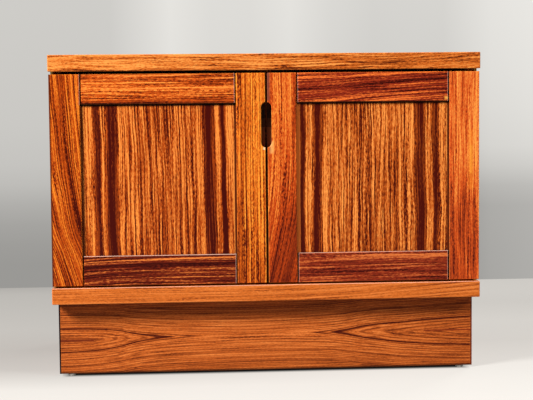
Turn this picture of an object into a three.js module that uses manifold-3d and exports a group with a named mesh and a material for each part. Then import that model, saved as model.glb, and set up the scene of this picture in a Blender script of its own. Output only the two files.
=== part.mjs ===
// A low rosewood record cabinet: two thick slabs with solid lippings, two sides and a centre partition
// between them, two frame-and-panel doors on pivot hinges, and a set-back plinth on four glides.
// The doors share one finger pull, half of it cut in each meeting stile.
// Millimetres. X runs to the right, Y to the back and Z up, from the floor under the middle.
import * as THREE from "three";
import { RoundedBoxGeometry } from "three/addons/geometries/RoundedBoxGeometry.js";
import { mergeVertices } from "three/addons/utils/BufferGeometryUtils.js";
import Module from "manifold-3d";

const wasm = await Module();
wasm.setup();

// Driving sizes of the two slabs, which set the outline of the whole cabinet
const slabWidth = 778;
const slabDepth = 440;
const slabThickness = 29.5;
const slabRounding = 1.5;
const lippingThickness = 7;
const openingHeight = 388;

// The plinth under the bottom slab
const plinthHeight = 131;
const plinthFrontInset = 28;
const plinthSideInset = 9;
const plinthRearInset = 28;
const plinthBoardThickness = 18;
const cornerBeadWidth = 2.5;
const cornerBlockWidth = 36;
const cornerBlockDrop = 16;
const crossRailThickness = 20;
const crossRailHeight = 90;

// Nail-on glides under the plinth
const glideHeight = 4;
const glideRadius = 7;
const glideRounding = 1;
const glideSideInset = 22;
const nailRadius = 1;
const nailLength = 14;

// The upright boards
const sideInset = 4;
const sideThickness = 20;
const partitionThickness = 20;
const edgeLipping = 5;
const rearOverhang = 2;
const tongueThickness = 8;
const tongueHeight = 8;
const tongueStop = 25;

// The back panel, held in a rebate in the sides and the slabs
const backThickness = 6;
const backRebate = 10;
const backInset = 1;
const backPlay = 0.5;

// The record dividers, three thin boards in each bay
const dividersPerBay = 3;
const dividerThickness = 4;
const dividerSetback = 130;
const dividerGroove = 5;

// The doors
const doorTopGap = 5;
const doorBottomGap = 3;
const doorEdgeInset = 1;
const doorFrontInset = 4;
const doorMeetingGap = 4;
const doorThickness = 22;
const doorToCarcass = 2;
const hingeStileWidth = 55;
const meetingStileWidth = 52.5;
const topRailWidth = 54;
const bottomRailWidth = 54;
const frameRounding = 1;
const frameInnerRounding = 2;
const jointKerfWidth = 2;
const jointKerfDepth = 4;
const tenonLength = 26;
const tenonThickness = 8;
const tenonInset = 11;
const panelThickness = 8;
const panelRecess = 5;
const panelGroove = 8;
const panelPlay = 1;

// The finger pull that the two meeting stiles share
const pullLength = 82;
const pullWidth = 19;
const pullBelowDoorTop = 52.5;
const pullDepth = 14;
const pullLip = 6;
const pullUndercut = 10;
const pullEasing = 1;

// The pivot hinges, let into the door's ends and the slabs' inner faces
const pivotInset = 6;
const pivotToDoorBack = 11;
const leafLength = 44;
const leafWidth = 10;
const leafThickness = 2.5;
const pinRadius = 2;
const pinPlay = 0.25;
const pinEngagement = 5;
const collarRadius = 3.25;
const leafScrewRadius = 1.8;
const leafScrewHeadRadius = 3.2;
const leafScrewInset = 7;
const leafScrewSpacing = 16;

// The magnetic catches behind the tops of the doors
const catchLength = 42;
const catchHeight = 20;
const catchDepth = 15;
const catchFromPartition = 3;
const catchRounding = 1.2;
const catchMouthHeight = 6;
const catchMouthDepth = 1.5;
const strikeThickness = 1.25;
const strikeHeight = 10;
const strikeShorter = 4;
const bumperRadius = 3.5;
const bumperThickness = 1.5;
const bumperRise = 20;

// Clearances and steps that every piece shares
const glueGap = 0.25;
const runningGap = 0.3;
const overrun = 6;
const roundSteps = 20;
const cornerSteps = 2;
const weldDistance = 1e-4;

// Heights of the main levels, from the floor up
const plinthTop = glideHeight + plinthHeight;
const bottomSlabTop = plinthTop + slabThickness;
const topSlabUnder = bottomSlabTop + openingHeight;
const doorBottom = bottomSlabTop + doorBottomGap;
const doorHeight = openingHeight - doorTopGap - doorBottomGap;

// Places across and along the cabinet
const halfWidth = slabWidth / 2;
const frontY = -slabDepth / 2;
const rearY = slabDepth / 2;
const doorFrontY = frontY + doorFrontInset;
const doorBackY = doorFrontY + doorThickness;
const carcassFrontY = doorBackY + doorToCarcass;
const carcassRearY = rearY - rearOverhang;
const backPanelRearY = carcassRearY - backInset;
const backPanelFrontY = backPanelRearY - backThickness;
const sideOuterX = halfWidth - sideInset;
const sideInnerX = sideOuterX - sideThickness;
const partitionX = partitionThickness / 2;
const doorOuterX = halfWidth - doorEdgeInset;
const doorWidth = doorOuterX - doorMeetingGap / 2;
const pivotX = doorOuterX - pivotInset;
const pivotY = doorBackY - pivotToDoorBack;

// Finishes
const finish = (colour, roughness, metalness = 0) =>
  new THREE.MeshStandardMaterial({ color: colour, roughness, metalness });
const rosewoodSolid = finish(0xb85f28, 0.32);
const rosewoodVeneer = finish(0xa8521f, 0.32);
const panelVeneer = finish(0x9a5526, 0.36);
const darkBead = finish(0x35130e, 0.4);
const interiorVeneer = finish(0x8f5326, 0.5);
const softwood = finish(0xc39a66, 0.75);
const brass = finish(0xb08a45, 0.35, 1);
const steel = finish(0x9a9da0, 0.35, 1);
const whiteNylon = finish(0xd8d5cc, 0.45);
const brownPlastic = finish(0x3b2a20, 0.5);
const felt = finish(0x2b2623, 0.95);

// Booleans on closed three.js geometries
function solidOf(geometry) {
  const bare = geometry.index ? geometry.toNonIndexed() : geometry;
  const points = new THREE.BufferGeometry().setAttribute("position", bare.getAttribute("position"));
  const welded = mergeVertices(points, weldDistance);
  return new wasm.Manifold(
    new wasm.Mesh({
      numProp: 3,
      vertProperties: welded.attributes.position.array,
      triVerts: new Uint32Array(welded.index.array),
    }),
  );
}

function geometryOf(solid) {
  const mesh = solid.getMesh();
  return new THREE.BufferGeometry()
    .setAttribute("position", new THREE.BufferAttribute(mesh.vertProperties, 3))
    .setIndex(new THREE.BufferAttribute(mesh.triVerts, 1));
}

const cut = (geometry, ...tools) =>
  geometryOf(tools.reduce((body, tool) => body.subtract(solidOf(tool)), solidOf(geometry)));
const join = (geometry, ...others) =>
  geometryOf(others.reduce((body, other) => body.add(solidOf(other)), solidOf(geometry)));
const common = (geometry, other) => geometryOf(solidOf(geometry).intersect(solidOf(other)));

// Plain closed shapes, given by their limits
function block(x, y, z) {
  return new THREE.BoxGeometry(x[1] - x[0], y[1] - y[0], z[1] - z[0]).translate(
    (x[0] + x[1]) / 2,
    (y[0] + y[1]) / 2,
    (z[0] + z[1]) / 2,
  );
}

function prism(points, z) {
  const outline = new THREE.Shape(points.map(([x, y]) => new THREE.Vector2(x, y)));
  return new THREE.ExtrudeGeometry(outline, { depth: z[1] - z[0], bevelEnabled: false }).translate(0, 0, z[0]);
}

function drum(radius, z) {
  return new THREE.CylinderGeometry(radius, radius, z[1] - z[0], roundSteps)
    .rotateX(Math.PI / 2)
    .translate(0, 0, (z[0] + z[1]) / 2);
}

// A slot outline along X with round ends, centred on the origin
function slotOutline(length, width) {
  const radius = width / 2;
  const reach = length / 2 - radius;
  const outline = new THREE.Shape();
  outline.absarc(reach, 0, radius, -Math.PI / 2, Math.PI / 2);
  outline.absarc(-reach, 0, radius, Math.PI / 2, (3 * Math.PI) / 2);
  return outline;
}

function slotPlate(length, width, z) {
  return new THREE.ExtrudeGeometry(slotOutline(length, width), {
    depth: z[1] - z[0],
    bevelEnabled: false,
    curveSegments: roundSteps / 2,
  }).translate(0, 0, z[0]);
}

// The mirror image of a geometry across the plane square to X or Z, with its faces turned outward again
function mirrored(geometry, axis) {
  const turned = geometry.index ? geometry.toNonIndexed() : geometry.clone();
  turned.scale(axis === "x" ? -1 : 1, 1, axis === "z" ? -1 : 1);
  const points = turned.getAttribute("position");
  const second = new THREE.Vector3();
  const third = new THREE.Vector3();
  for (let i = 0; i < points.count; i += 3) {
    second.fromBufferAttribute(points, i + 1);
    third.fromBufferAttribute(points, i + 2);
    points.setXYZ(i + 1, third.x, third.y, third.z);
    points.setXYZ(i + 2, second.x, second.y, second.z);
  }
  return new THREE.BufferGeometry().setAttribute("position", points);
}

// Names a piece, centres its geometry on itself and places it in its group
function addPiece(group, name, geometry, material) {
  const flat = geometry.index ? geometry.toNonIndexed() : geometry.clone();
  const body = new THREE.BufferGeometry().setAttribute("position", flat.getAttribute("position"));
  body.computeBoundingBox();
  const middle = body.boundingBox.getCenter(new THREE.Vector3());
  body.translate(-middle.x, -middle.y, -middle.z);
  body.computeVertexNormals();
  const mesh = new THREE.Mesh(body, material);
  mesh.name = name;
  mesh.position.copy(middle);
  group.add(mesh);
  return mesh;
}

const cabinet = new THREE.Group();
const carcass = new THREE.Group();
cabinet.add(carcass);
const sides = { left: -1, right: 1 };

// The middles of the dividers across the cabinet, left bay first
const bayWidth = sideInnerX - partitionX;
const slotWidth = (bayWidth - dividersPerBay * dividerThickness) / (dividersPerBay + 1);
const dividerPlaces = [];
for (const bayStart of [-sideInnerX, partitionX]) {
  for (let i = 0; i < dividersPerBay; i++) {
    dividerPlaces.push(bayStart + (i + 1) * slotWidth + (i + 0.5) * dividerThickness);
  }
}

// Pivot hinge leaves. Each lies along X from the pivot at the origin, with its outer face at z = 0 and
// its body below that.
const leafMiddle = leafLength / 2 - leafWidth / 2;

function leafBlank(clearance) {
  const body = slotPlate(leafLength + 2 * clearance, leafWidth + 2 * clearance, [-leafThickness - clearance, 0]);
  return body.translate(leafMiddle, 0, 0);
}

function leafScrewHoles() {
  const firstHole = leafLength - leafWidth / 2 - leafScrewInset;
  const sink = leafScrewHeadRadius - leafScrewRadius;
  const outline = [
    new THREE.Vector2(0, -leafThickness - overrun),
    new THREE.Vector2(leafScrewRadius, -leafThickness - overrun),
    new THREE.Vector2(leafScrewRadius, -sink),
    new THREE.Vector2(leafScrewHeadRadius, 0),
    new THREE.Vector2(leafScrewHeadRadius, overrun),
    new THREE.Vector2(0, overrun),
  ];
  return [firstHole, firstHole - leafScrewSpacing].map((x) =>
    new THREE.LatheGeometry(outline, roundSteps).rotateX(Math.PI / 2).translate(x, 0, 0),
  );
}

// The slab's leaf carries the pin and a collar that spaces the door from the slab by that gap
function slabLeaf(gap) {
  const pin = drum(pinRadius, [-leafThickness / 2, gap + leafThickness + pinEngagement]);
  const collar = drum(collarRadius, [-leafThickness / 2, gap - runningGap]);
  return cut(join(leafBlank(0), pin, collar), ...leafScrewHoles());
}

function doorLeaf() {
  const pinHole = drum(pinRadius + pinPlay, [-leafThickness - overrun, overrun]);
  return cut(leafBlank(0), pinHole, ...leafScrewHoles());
}

// A slab with its working face at z = 0 looking up. Every groove and recess is cut in the blank, which is
// then split into the veneered panel and its three lippings, mitred at the front corners.
function slabPieces() {
  const blank = new RoundedBoxGeometry(slabWidth, slabDepth, slabThickness, cornerSteps, slabRounding);
  blank.translate(0, 0, -slabThickness / 2);
  const grooves = [];
  const tongueY = [carcassFrontY + tongueStop - glueGap, carcassRearY - tongueStop + glueGap];
  const tongueZ = [-tongueHeight - glueGap, overrun];
  const tongueHalf = tongueThickness / 2 + glueGap;
  for (const x of [-sideOuterX + sideThickness / 2, 0, sideOuterX - sideThickness / 2]) {
    grooves.push(block([x - tongueHalf, x + tongueHalf], tongueY, tongueZ));
  }
  const dividerHalf = dividerThickness / 2 + glueGap;
  for (const x of dividerPlaces) {
    const along = [carcassFrontY + dividerSetback - glueGap, backPanelFrontY];
    grooves.push(block([x - dividerHalf, x + dividerHalf], along, [-dividerGroove, overrun]));
  }
  const rebateX = sideInnerX + backRebate;
  grooves.push(block([-rebateX, rebateX], [backPanelFrontY - glueGap, rearY + overrun], [-backRebate, overrun]));
  for (const side of [-1, 1]) {
    const recess = leafBlank(glueGap).translate(-pivotX, pivotY, 0);
    grooves.push(side < 0 ? recess : mirrored(recess, "x"));
  }
  const body = cut(blank, ...grooves);
  const deep = [-slabThickness - overrun, overrun];
  const lippedX = halfWidth - lippingThickness;
  const lippedY = frontY + lippingThickness;
  const farX = halfWidth + overrun;
  const farFront = frontY - overrun;
  const farRear = rearY + overrun;
  const frontBand = [
    [-farX, farFront],
    [farX, farFront],
    [lippedX, lippedY],
    [-lippedX, lippedY],
  ];
  const rightBand = [
    [lippedX, lippedY + glueGap],
    [farX, farFront + glueGap],
    [farX, farRear],
    [lippedX, farRear],
  ];
  const panelX = lippedX - glueGap;
  return {
    panel: common(body, block([-panelX, panelX], [lippedY + glueGap, farRear], deep)),
    front_lipping: common(body, prism(frontBand, deep)),
    right_lipping: common(body, prism(rightBand, deep)),
    left_lipping: common(body, mirrored(prism(rightBand, deep), "x")),
  };
}

const slabParts = slabPieces();
for (const [part, geometry] of Object.entries(slabParts)) {
  const material = part === "panel" ? rosewoodVeneer : rosewoodSolid;
  addPiece(carcass, "bottom_" + part, geometry.clone().translate(0, 0, bottomSlabTop), material);
  addPiece(carcass, "top_" + part, mirrored(geometry, "z").translate(0, 0, topSlabUnder), material);
}

// Upright boards between the slabs, with a tongue into each
const boardBottom = bottomSlabTop + glueGap;
const boardTop = topSlabUnder - glueGap;

function tongues(middleX) {
  const x = [middleX - tongueThickness / 2, middleX + tongueThickness / 2];
  const y = [carcassFrontY + tongueStop, carcassRearY - tongueStop];
  return [
    block(x, y, [bottomSlabTop - tongueHeight, boardBottom + overrun]),
    block(x, y, [boardTop - overrun, topSlabUnder + tongueHeight]),
  ];
}

const boardFrontY = carcassFrontY + edgeLipping + glueGap;
const edgeLippingY = [carcassFrontY, carcassFrontY + edgeLipping];
const rightBoard = join(
  block([sideInnerX, sideOuterX], [boardFrontY, carcassRearY], [boardBottom, boardTop]),
  ...tongues(sideOuterX - sideThickness / 2),
);
const sideRebate = block(
  [sideInnerX - overrun, sideInnerX + backRebate],
  [backPanelFrontY - glueGap, carcassRearY + overrun],
  [boardBottom - overrun, boardTop + overrun],
);
const rightSide = cut(rightBoard, sideRebate);
const rightEdge = block([sideInnerX, sideOuterX], edgeLippingY, [boardBottom, boardTop]);
addPiece(carcass, "right_side_panel", rightSide, rosewoodVeneer);
addPiece(carcass, "left_side_panel", mirrored(rightSide, "x"), rosewoodVeneer);
addPiece(carcass, "right_side_lipping", rightEdge, rosewoodSolid);
addPiece(carcass, "left_side_lipping", mirrored(rightEdge, "x"), rosewoodSolid);

const partition = join(
  block([-partitionX, partitionX], [boardFrontY, backPanelFrontY - glueGap], [boardBottom, boardTop]),
  ...tongues(0),
);
addPiece(carcass, "centre_partition", partition, interiorVeneer);
addPiece(
  carcass,
  "partition_lipping",
  block([-partitionX, partitionX], edgeLippingY, [boardBottom, boardTop]),
  rosewoodSolid,
);

// The back panel fills the rebate
const backHalf = sideInnerX + backRebate - backPlay;
const backHeight = openingHeight + 2 * (backRebate - backPlay);
const backBottom = bottomSlabTop - backRebate + backPlay;
const backPanel = block(
  [-backHalf, backHalf],
  [backPanelFrontY, backPanelRearY],
  [backBottom, backBottom + backHeight],
);
addPiece(carcass, "back_panel", backPanel, interiorVeneer);

// Record dividers stop well behind the doors, so that a sleeve stands out in front of them and can be gripped
const dividerY = [carcassFrontY + dividerSetback, backPanelFrontY - glueGap];
const dividerZ = [bottomSlabTop - dividerGroove + glueGap, topSlabUnder + dividerGroove - glueGap];
dividerPlaces.forEach((x, i) => {
  const board = block([x - dividerThickness / 2, x + dividerThickness / 2], dividerY, dividerZ);
  addPiece(carcass, "record_divider_" + (i + 1), board, interiorVeneer);
});

// The plinth: a mitred front, butted rear, glued blocks in the corners and a rail across the middle
const plinth = new THREE.Group();
cabinet.add(plinth);
const plinthX = halfWidth - plinthSideInset;
const plinthFrontY = frontY + plinthFrontInset;
const plinthRearY = rearY - plinthRearInset;
const plinthZ = [glideHeight, plinthTop - glueGap];
const plinthInnerX = plinthX - plinthBoardThickness;
const plinthInnerFrontY = plinthFrontY + plinthBoardThickness;
const plinthInnerRearY = plinthRearY - plinthBoardThickness;
const rearBoardMiddleY = plinthRearY - plinthBoardThickness / 2;
const frontBoardMiddleY = plinthFrontY + plinthBoardThickness / 2;
const glideX = plinthX - glideSideInset;

function nailHoles(y) {
  const hole = drum(nailRadius + glueGap, [glideHeight - overrun, glideHeight + nailLength + glueGap]);
  return [-glideX, glideX].map((x) => hole.clone().translate(x, y, 0));
}

const beadRecess = block(
  [plinthX - cornerBeadWidth - glueGap, plinthX + overrun],
  [plinthFrontY - overrun, plinthFrontY + cornerBeadWidth + glueGap],
  [plinthZ[0] - overrun, plinthZ[1] + overrun],
);
const frontBoard = prism(
  [
    [-plinthX, plinthFrontY],
    [plinthX, plinthFrontY],
    [plinthInnerX, plinthInnerFrontY],
    [-plinthInnerX, plinthInnerFrontY],
  ],
  plinthZ,
);
const rightPlinthBoard = prism(
  [
    [plinthX, plinthFrontY + glueGap],
    [plinthX, plinthRearY],
    [plinthInnerX, plinthRearY],
    [plinthInnerX, plinthInnerFrontY + glueGap],
  ],
  plinthZ,
);
const rightPlinth = cut(rightPlinthBoard, beadRecess);
const rearBoard = block(
  [-plinthInnerX + glueGap, plinthInnerX - glueGap],
  [plinthInnerRearY, plinthRearY],
  plinthZ,
);
addPiece(
  plinth,
  "plinth_front_board",
  cut(frontBoard, beadRecess, mirrored(beadRecess, "x"), ...nailHoles(frontBoardMiddleY)),
  rosewoodVeneer,
);
addPiece(plinth, "plinth_right_board", rightPlinth, rosewoodVeneer);
addPiece(plinth, "plinth_left_board", mirrored(rightPlinth, "x"), rosewoodVeneer);
addPiece(plinth, "plinth_rear_board", cut(rearBoard, ...nailHoles(rearBoardMiddleY)), rosewoodVeneer);

const rightBead = block(
  [plinthX - cornerBeadWidth, plinthX],
  [plinthFrontY, plinthFrontY + cornerBeadWidth],
  plinthZ,
);
addPiece(plinth, "plinth_right_corner_bead", rightBead, darkBead);
addPiece(plinth, "plinth_left_corner_bead", mirrored(rightBead, "x"), darkBead);

const blockOuterX = plinthInnerX - glueGap;
const blockZ = [glideHeight + cornerBlockDrop, plinthTop - glueGap];
const blockInnerX = blockOuterX - cornerBlockWidth;

function cornerBlock(outerY, innerY) {
  const points = [
    [blockOuterX, outerY],
    [blockOuterX, innerY],
    [blockInnerX, outerY],
  ];
  return prism(points, blockZ);
}

const frontBlockY = plinthInnerFrontY + glueGap;
const rearBlockY = plinthInnerRearY - glueGap;
const frontBlock = cornerBlock(frontBlockY, frontBlockY + cornerBlockWidth);
const rearBlock = cornerBlock(rearBlockY, rearBlockY - cornerBlockWidth);
addPiece(plinth, "corner_block_front_right", frontBlock, softwood);
addPiece(plinth, "corner_block_front_left", mirrored(frontBlock, "x"), softwood);
addPiece(plinth, "corner_block_rear_right", rearBlock, softwood);
addPiece(plinth, "corner_block_rear_left", mirrored(rearBlock, "x"), softwood);

const crossRail = block(
  [-crossRailThickness / 2, crossRailThickness / 2],
  [plinthInnerFrontY + glueGap, plinthInnerRearY - glueGap],
  [plinthTop - glueGap - crossRailHeight, plinthTop - glueGap],
);
addPiece(plinth, "plinth_cross_rail", crossRail, softwood);

// A glide is a nylon disc with its nail, turned as one outline
function glide() {
  const rim = [];
  for (let i = 0; i <= cornerSteps; i++) {
    const turn = (i / cornerSteps) * (Math.PI / 2);
    rim.push(
      new THREE.Vector2(
        glideRadius - glideRounding + glideRounding * Math.sin(turn),
        glideRounding - glideRounding * Math.cos(turn),
      ),
    );
  }
  const discTop = glideHeight - glueGap;
  const outline = [
    new THREE.Vector2(0, 0),
    ...rim,
    new THREE.Vector2(glideRadius, discTop),
    new THREE.Vector2(nailRadius, discTop),
    new THREE.Vector2(nailRadius, glideHeight + nailLength - nailRadius),
    new THREE.Vector2(0, glideHeight + nailLength),
  ];
  return new THREE.LatheGeometry(outline, roundSteps).rotateX(Math.PI / 2);
}

for (const [depthName, y] of Object.entries({ front: frontBoardMiddleY, rear: rearBoardMiddleY })) {
  for (const [sideName, side] of Object.entries(sides)) {
    const name = "glide_" + depthName + "_" + sideName;
    addPiece(plinth, name, glide().translate(side * glideX, y, 0), whiteNylon);
  }
}

// The catches stand under the top slab, one in each bay beside the partition
const strikeY = [doorBackY + glueGap, doorBackY + glueGap + strikeThickness];
const catchX = [partitionX + catchFromPartition, partitionX + catchFromPartition + catchLength];
const catchFrontY = strikeY[1] + runningGap;

function magnetCatch() {
  const middleZ = topSlabUnder - glueGap - catchHeight / 2;
  const body = new RoundedBoxGeometry(catchLength, catchDepth, catchHeight, 1, catchRounding);
  const mouthX = [-catchLength / 2 + 2 * catchRounding, catchLength / 2 - 2 * catchRounding];
  const mouthY = [-catchDepth / 2 - overrun, -catchDepth / 2 + catchMouthDepth];
  const halfMouth = catchMouthHeight / 2;
  const lipZ = [-catchHeight, -halfMouth];
  const frontLip = block(mouthX, mouthY, lipZ);
  const upperLip = mirrored(frontLip, "z");
  return cut(body, frontLip, upperLip).translate((catchX[0] + catchX[1]) / 2, catchFrontY + catchDepth / 2, middleZ);
}

addPiece(carcass, "right_catch", magnetCatch(), brownPlastic);
addPiece(carcass, "left_catch", mirrored(magnetCatch(), "x"), brownPlastic);

// Hinge leaves on the slabs. A leaf lies along the door's end, from the pivot towards the middle.
for (const [sideName, side] of Object.entries(sides)) {
  const low = slabLeaf(doorBottomGap).translate(-pivotX, pivotY, bottomSlabTop);
  const high = mirrored(slabLeaf(doorTopGap), "z").translate(-pivotX, pivotY, topSlabUnder);
  addPiece(carcass, sideName + "_hinge_slab_leaf_bottom", side < 0 ? low : mirrored(low, "x"), brass);
  addPiece(carcass, sideName + "_hinge_slab_leaf_top", side < 0 ? high : mirrored(high, "x"), brass);
}

// The left door, in a frame of its own: its hinge axis is at x = 0 and y = 0, its lower end at z = 0,
// and it runs along X to its meeting edge. The right door is its mirror image.
const doorX = [-pivotInset, doorWidth - pivotInset];
const doorY = [doorFrontY - pivotY, doorBackY - pivotY];
const hingeStileX = [doorX[0], doorX[0] + hingeStileWidth];
const meetingStileX = [doorX[1] - meetingStileWidth, doorX[1]];
const railX = [hingeStileX[1] + glueGap, meetingStileX[0] - glueGap];
const lowerRailZ = [0, bottomRailWidth];
const upperRailZ = [doorHeight - topRailWidth, doorHeight];
const panelY = [doorY[0] + panelRecess, doorY[0] + panelRecess + panelThickness];
const panelX = [hingeStileX[1] - panelGroove + panelPlay, meetingStileX[0] + panelGroove - panelPlay];
const panelZ = [lowerRailZ[1] - panelGroove + panelPlay, upperRailZ[0] + panelGroove - panelPlay];
const tenonY = [panelY[0], panelY[0] + tenonThickness];

// A frame board of that length along Z, its outer edge at x = 0 and its panel's edge at x = width. Its front
// is at y = 0, and is rounded more on the panel's side.
function frameBoard(length, width) {
  const section = new THREE.Shape();
  const quarter = Math.PI / 2;
  section.moveTo(0, doorThickness);
  section.lineTo(0, frameRounding);
  section.absarc(frameRounding, frameRounding, frameRounding, Math.PI, 3 * quarter);
  section.absarc(width - frameInnerRounding, frameInnerRounding, frameInnerRounding, -quarter, 0);
  section.lineTo(width, doorThickness);
  return new THREE.ExtrudeGeometry(section, {
    depth: length,
    bevelEnabled: false,
    curveSegments: cornerSteps,
  });
}

// Grooves and recesses grow past the solid by the overrun where they are open
function panelSlotIn(x, z) {
  return block(x, [panelY[0] - glueGap, panelY[1] + glueGap], z);
}

function mortise(x, z) {
  return block(
    [x[0] - glueGap, x[1] + glueGap],
    [tenonY[0] - glueGap, tenonY[1] + glueGap],
    [z[0] - glueGap, z[1] + glueGap],
  );
}

const tenonZ = (railZ) => [railZ[0] + tenonInset, railZ[1] - tenonInset];
const panelSlotZ = [panelZ[0] - panelPlay, panelZ[1] + panelPlay];

// The front edges at the door's two ends are eased like the others
function easedEnds(x) {
  const ease = frameRounding;
  const reach = doorY[0] - overrun;
  const low = [
    [reach, -overrun],
    [doorY[0] + ease, -overrun],
    [doorY[0] + ease, 0],
    [doorY[0], ease],
    [reach, ease],
  ];
  const wedge = prism(low, x).rotateX(Math.PI / 2).rotateZ(Math.PI / 2);
  return [wedge, mirrored(wedge, "z").translate(0, 0, doorHeight)];
}

function hingeStile() {
  const board = frameBoard(doorHeight, hingeStileWidth).translate(hingeStileX[0], doorY[0], 0);
  const inward = [hingeStileX[1] - tenonLength, hingeStileX[1] + overrun];
  const leafRecess = leafBlank(glueGap);
  const pinBore = drum(pinRadius + 2 * pinPlay, [-leafThickness - pinEngagement - 2 * pinPlay, 0]);
  const topRecess = [leafRecess, pinBore].map((tool) => tool.clone().translate(0, 0, doorHeight));
  const bottomRecess = [leafRecess, pinBore].map((tool) => mirrored(tool, "z"));
  return cut(
    board,
    panelSlotIn([panelX[0] - panelPlay, hingeStileX[1] + overrun], panelSlotZ),
    mortise(inward, tenonZ(lowerRailZ)),
    mortise(inward, tenonZ(upperRailZ)),
    ...topRecess,
    ...bottomRecess,
    ...easedEnds([hingeStileX[0] - overrun, hingeStileX[1] + overrun]),
  );
}

// The finger pull is a slot cut on the line where the doors meet, with a wider groove behind its lip
function pullCutters() {
  const middleX = doorX[1] + doorMeetingGap / 2;
  const middleZ = doorHeight - pullBelowDoorTop - pullLength / 2;
  const stand = (geometry) => geometry.rotateZ(Math.PI / 2).rotateX(Math.PI / 2).translate(middleX, doorY[0], middleZ);
  const mouth = slotPlate(pullLength, pullWidth, [-pullDepth, overrun]);
  const undercutWidth = pullWidth + 2 * pullUndercut;
  const undercut = slotPlate(pullLength, undercutWidth, [-pullDepth, -pullLip]);
  const easing = new THREE.ExtrudeGeometry(slotOutline(pullLength, pullWidth), {
    depth: overrun,
    bevelThickness: pullEasing,
    bevelSize: pullEasing,
    bevelSegments: 1,
    curveSegments: roundSteps / 2,
  });
  return [stand(mouth), stand(undercut), stand(easing)];
}

function meetingStile() {
  const turned = mirrored(frameBoard(doorHeight, meetingStileWidth), "x");
  const board = turned.translate(meetingStileX[1], doorY[0], 0);
  const inward = [meetingStileX[0] - overrun, meetingStileX[0] + tenonLength];
  return cut(
    board,
    panelSlotIn([meetingStileX[0] - overrun, panelX[1] + panelPlay], panelSlotZ),
    mortise(inward, tenonZ(lowerRailZ)),
    mortise(inward, tenonZ(upperRailZ)),
    ...pullCutters(),
    ...easedEnds([meetingStileX[0] - overrun, meetingStileX[1] + overrun]),
  );
}

// A rail of that width with its tenons, its outer edge at z = 0. Its front is cut back at both ends, which
// leaves a dark kerf beside each stile.
function rail(width) {
  const length = railX[1] - railX[0];
  const board = frameBoard(length, width).rotateY(-Math.PI / 2).translate(railX[1], doorY[0], 0);
  const z = tenonZ([0, width]);
  const tenons = [
    block([railX[0] - tenonLength + 2 * glueGap, railX[0] + overrun], tenonY, z),
    block([railX[1] - overrun, railX[1] + tenonLength - 2 * glueGap], tenonY, z),
  ];
  const kerfX = railX[0] + jointKerfWidth;
  const kerfOutline = [
    [railX[0] - overrun, doorY[0] - overrun],
    [kerfX + frameRounding, doorY[0] - overrun],
    [kerfX + frameRounding, doorY[0]],
    [kerfX, doorY[0] + frameRounding],
    [kerfX, doorY[0] + jointKerfDepth],
    [railX[0] - overrun, doorY[0] + jointKerfDepth],
  ];
  const kerf = prism(kerfOutline, [-overrun, width + overrun]);
  const kerfs = [kerf, mirrored(kerf, "x").translate(railX[0] + railX[1], 0, 0)];
  const slot = panelSlotIn([railX[0] - overrun, railX[1] + overrun], [width - panelGroove, width + overrun]);
  return join(cut(board, ...kerfs, slot), ...tenons);
}

const strikeX = [
  pivotX - catchX[1] + strikeShorter / 2,
  pivotX - catchX[0] - strikeShorter / 2,
];
const strikeMiddleZ = topSlabUnder - glueGap - catchHeight / 2 - doorBottom;

function strikePlate() {
  const length = strikeX[1] - strikeX[0];
  return slotPlate(length, strikeHeight, [0, strikeThickness])
    .rotateX(-Math.PI / 2)
    .translate((strikeX[0] + strikeX[1]) / 2, strikeY[0] - pivotY, strikeMiddleZ);
}

function bumper() {
  const x = doorX[1] + doorMeetingGap / 2 - partitionX / 2;
  return drum(bumperRadius, [0, bumperThickness])
    .rotateX(-Math.PI / 2)
    .translate(x, doorBackY - pivotY + glueGap, bumperRise);
}

function doorPieces() {
  return {
    hinge_stile: [hingeStile(), rosewoodSolid],
    meeting_stile: [meetingStile(), rosewoodSolid],
    bottom_rail: [rail(bottomRailWidth), rosewoodSolid],
    top_rail: [mirrored(rail(topRailWidth), "z").translate(0, 0, doorHeight), rosewoodSolid],
    panel: [block(panelX, panelY, panelZ), panelVeneer],
    hinge_leaf_top: [doorLeaf().translate(0, 0, doorHeight), brass],
    hinge_leaf_bottom: [mirrored(doorLeaf(), "z"), brass],
    strike_plate: [strikePlate(), steel],
    bumper: [bumper(), felt],
  };
}

for (const [sideName, side] of Object.entries(sides)) {
  const door = new THREE.Group();
  door.position.set(side * pivotX, pivotY, doorBottom);
  cabinet.add(door);
  for (const [part, [geometry, material]] of Object.entries(doorPieces())) {
    addPiece(door, sideName + "_door_" + part, side < 0 ? geometry : mirrored(geometry, "x"), material);
  }
}

export default cabinet;
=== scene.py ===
# %% [markdown]
# # A record cabinet in satin rosewood
# The cabinet is two thick slabs with a pair of frame-and-panel doors between them, on a set-back plinth.
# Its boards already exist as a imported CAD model, so this lesson is about what the eye reads as wood: where
# the grain of each board runs, which bands are dark, how the veneer was matched, and how the satin finish
# takes the light. The screws, which the CAD model leaves out, are made here as well.

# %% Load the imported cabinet
import math

import bmesh
import bpy
from mathutils import Matrix, Vector


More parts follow.
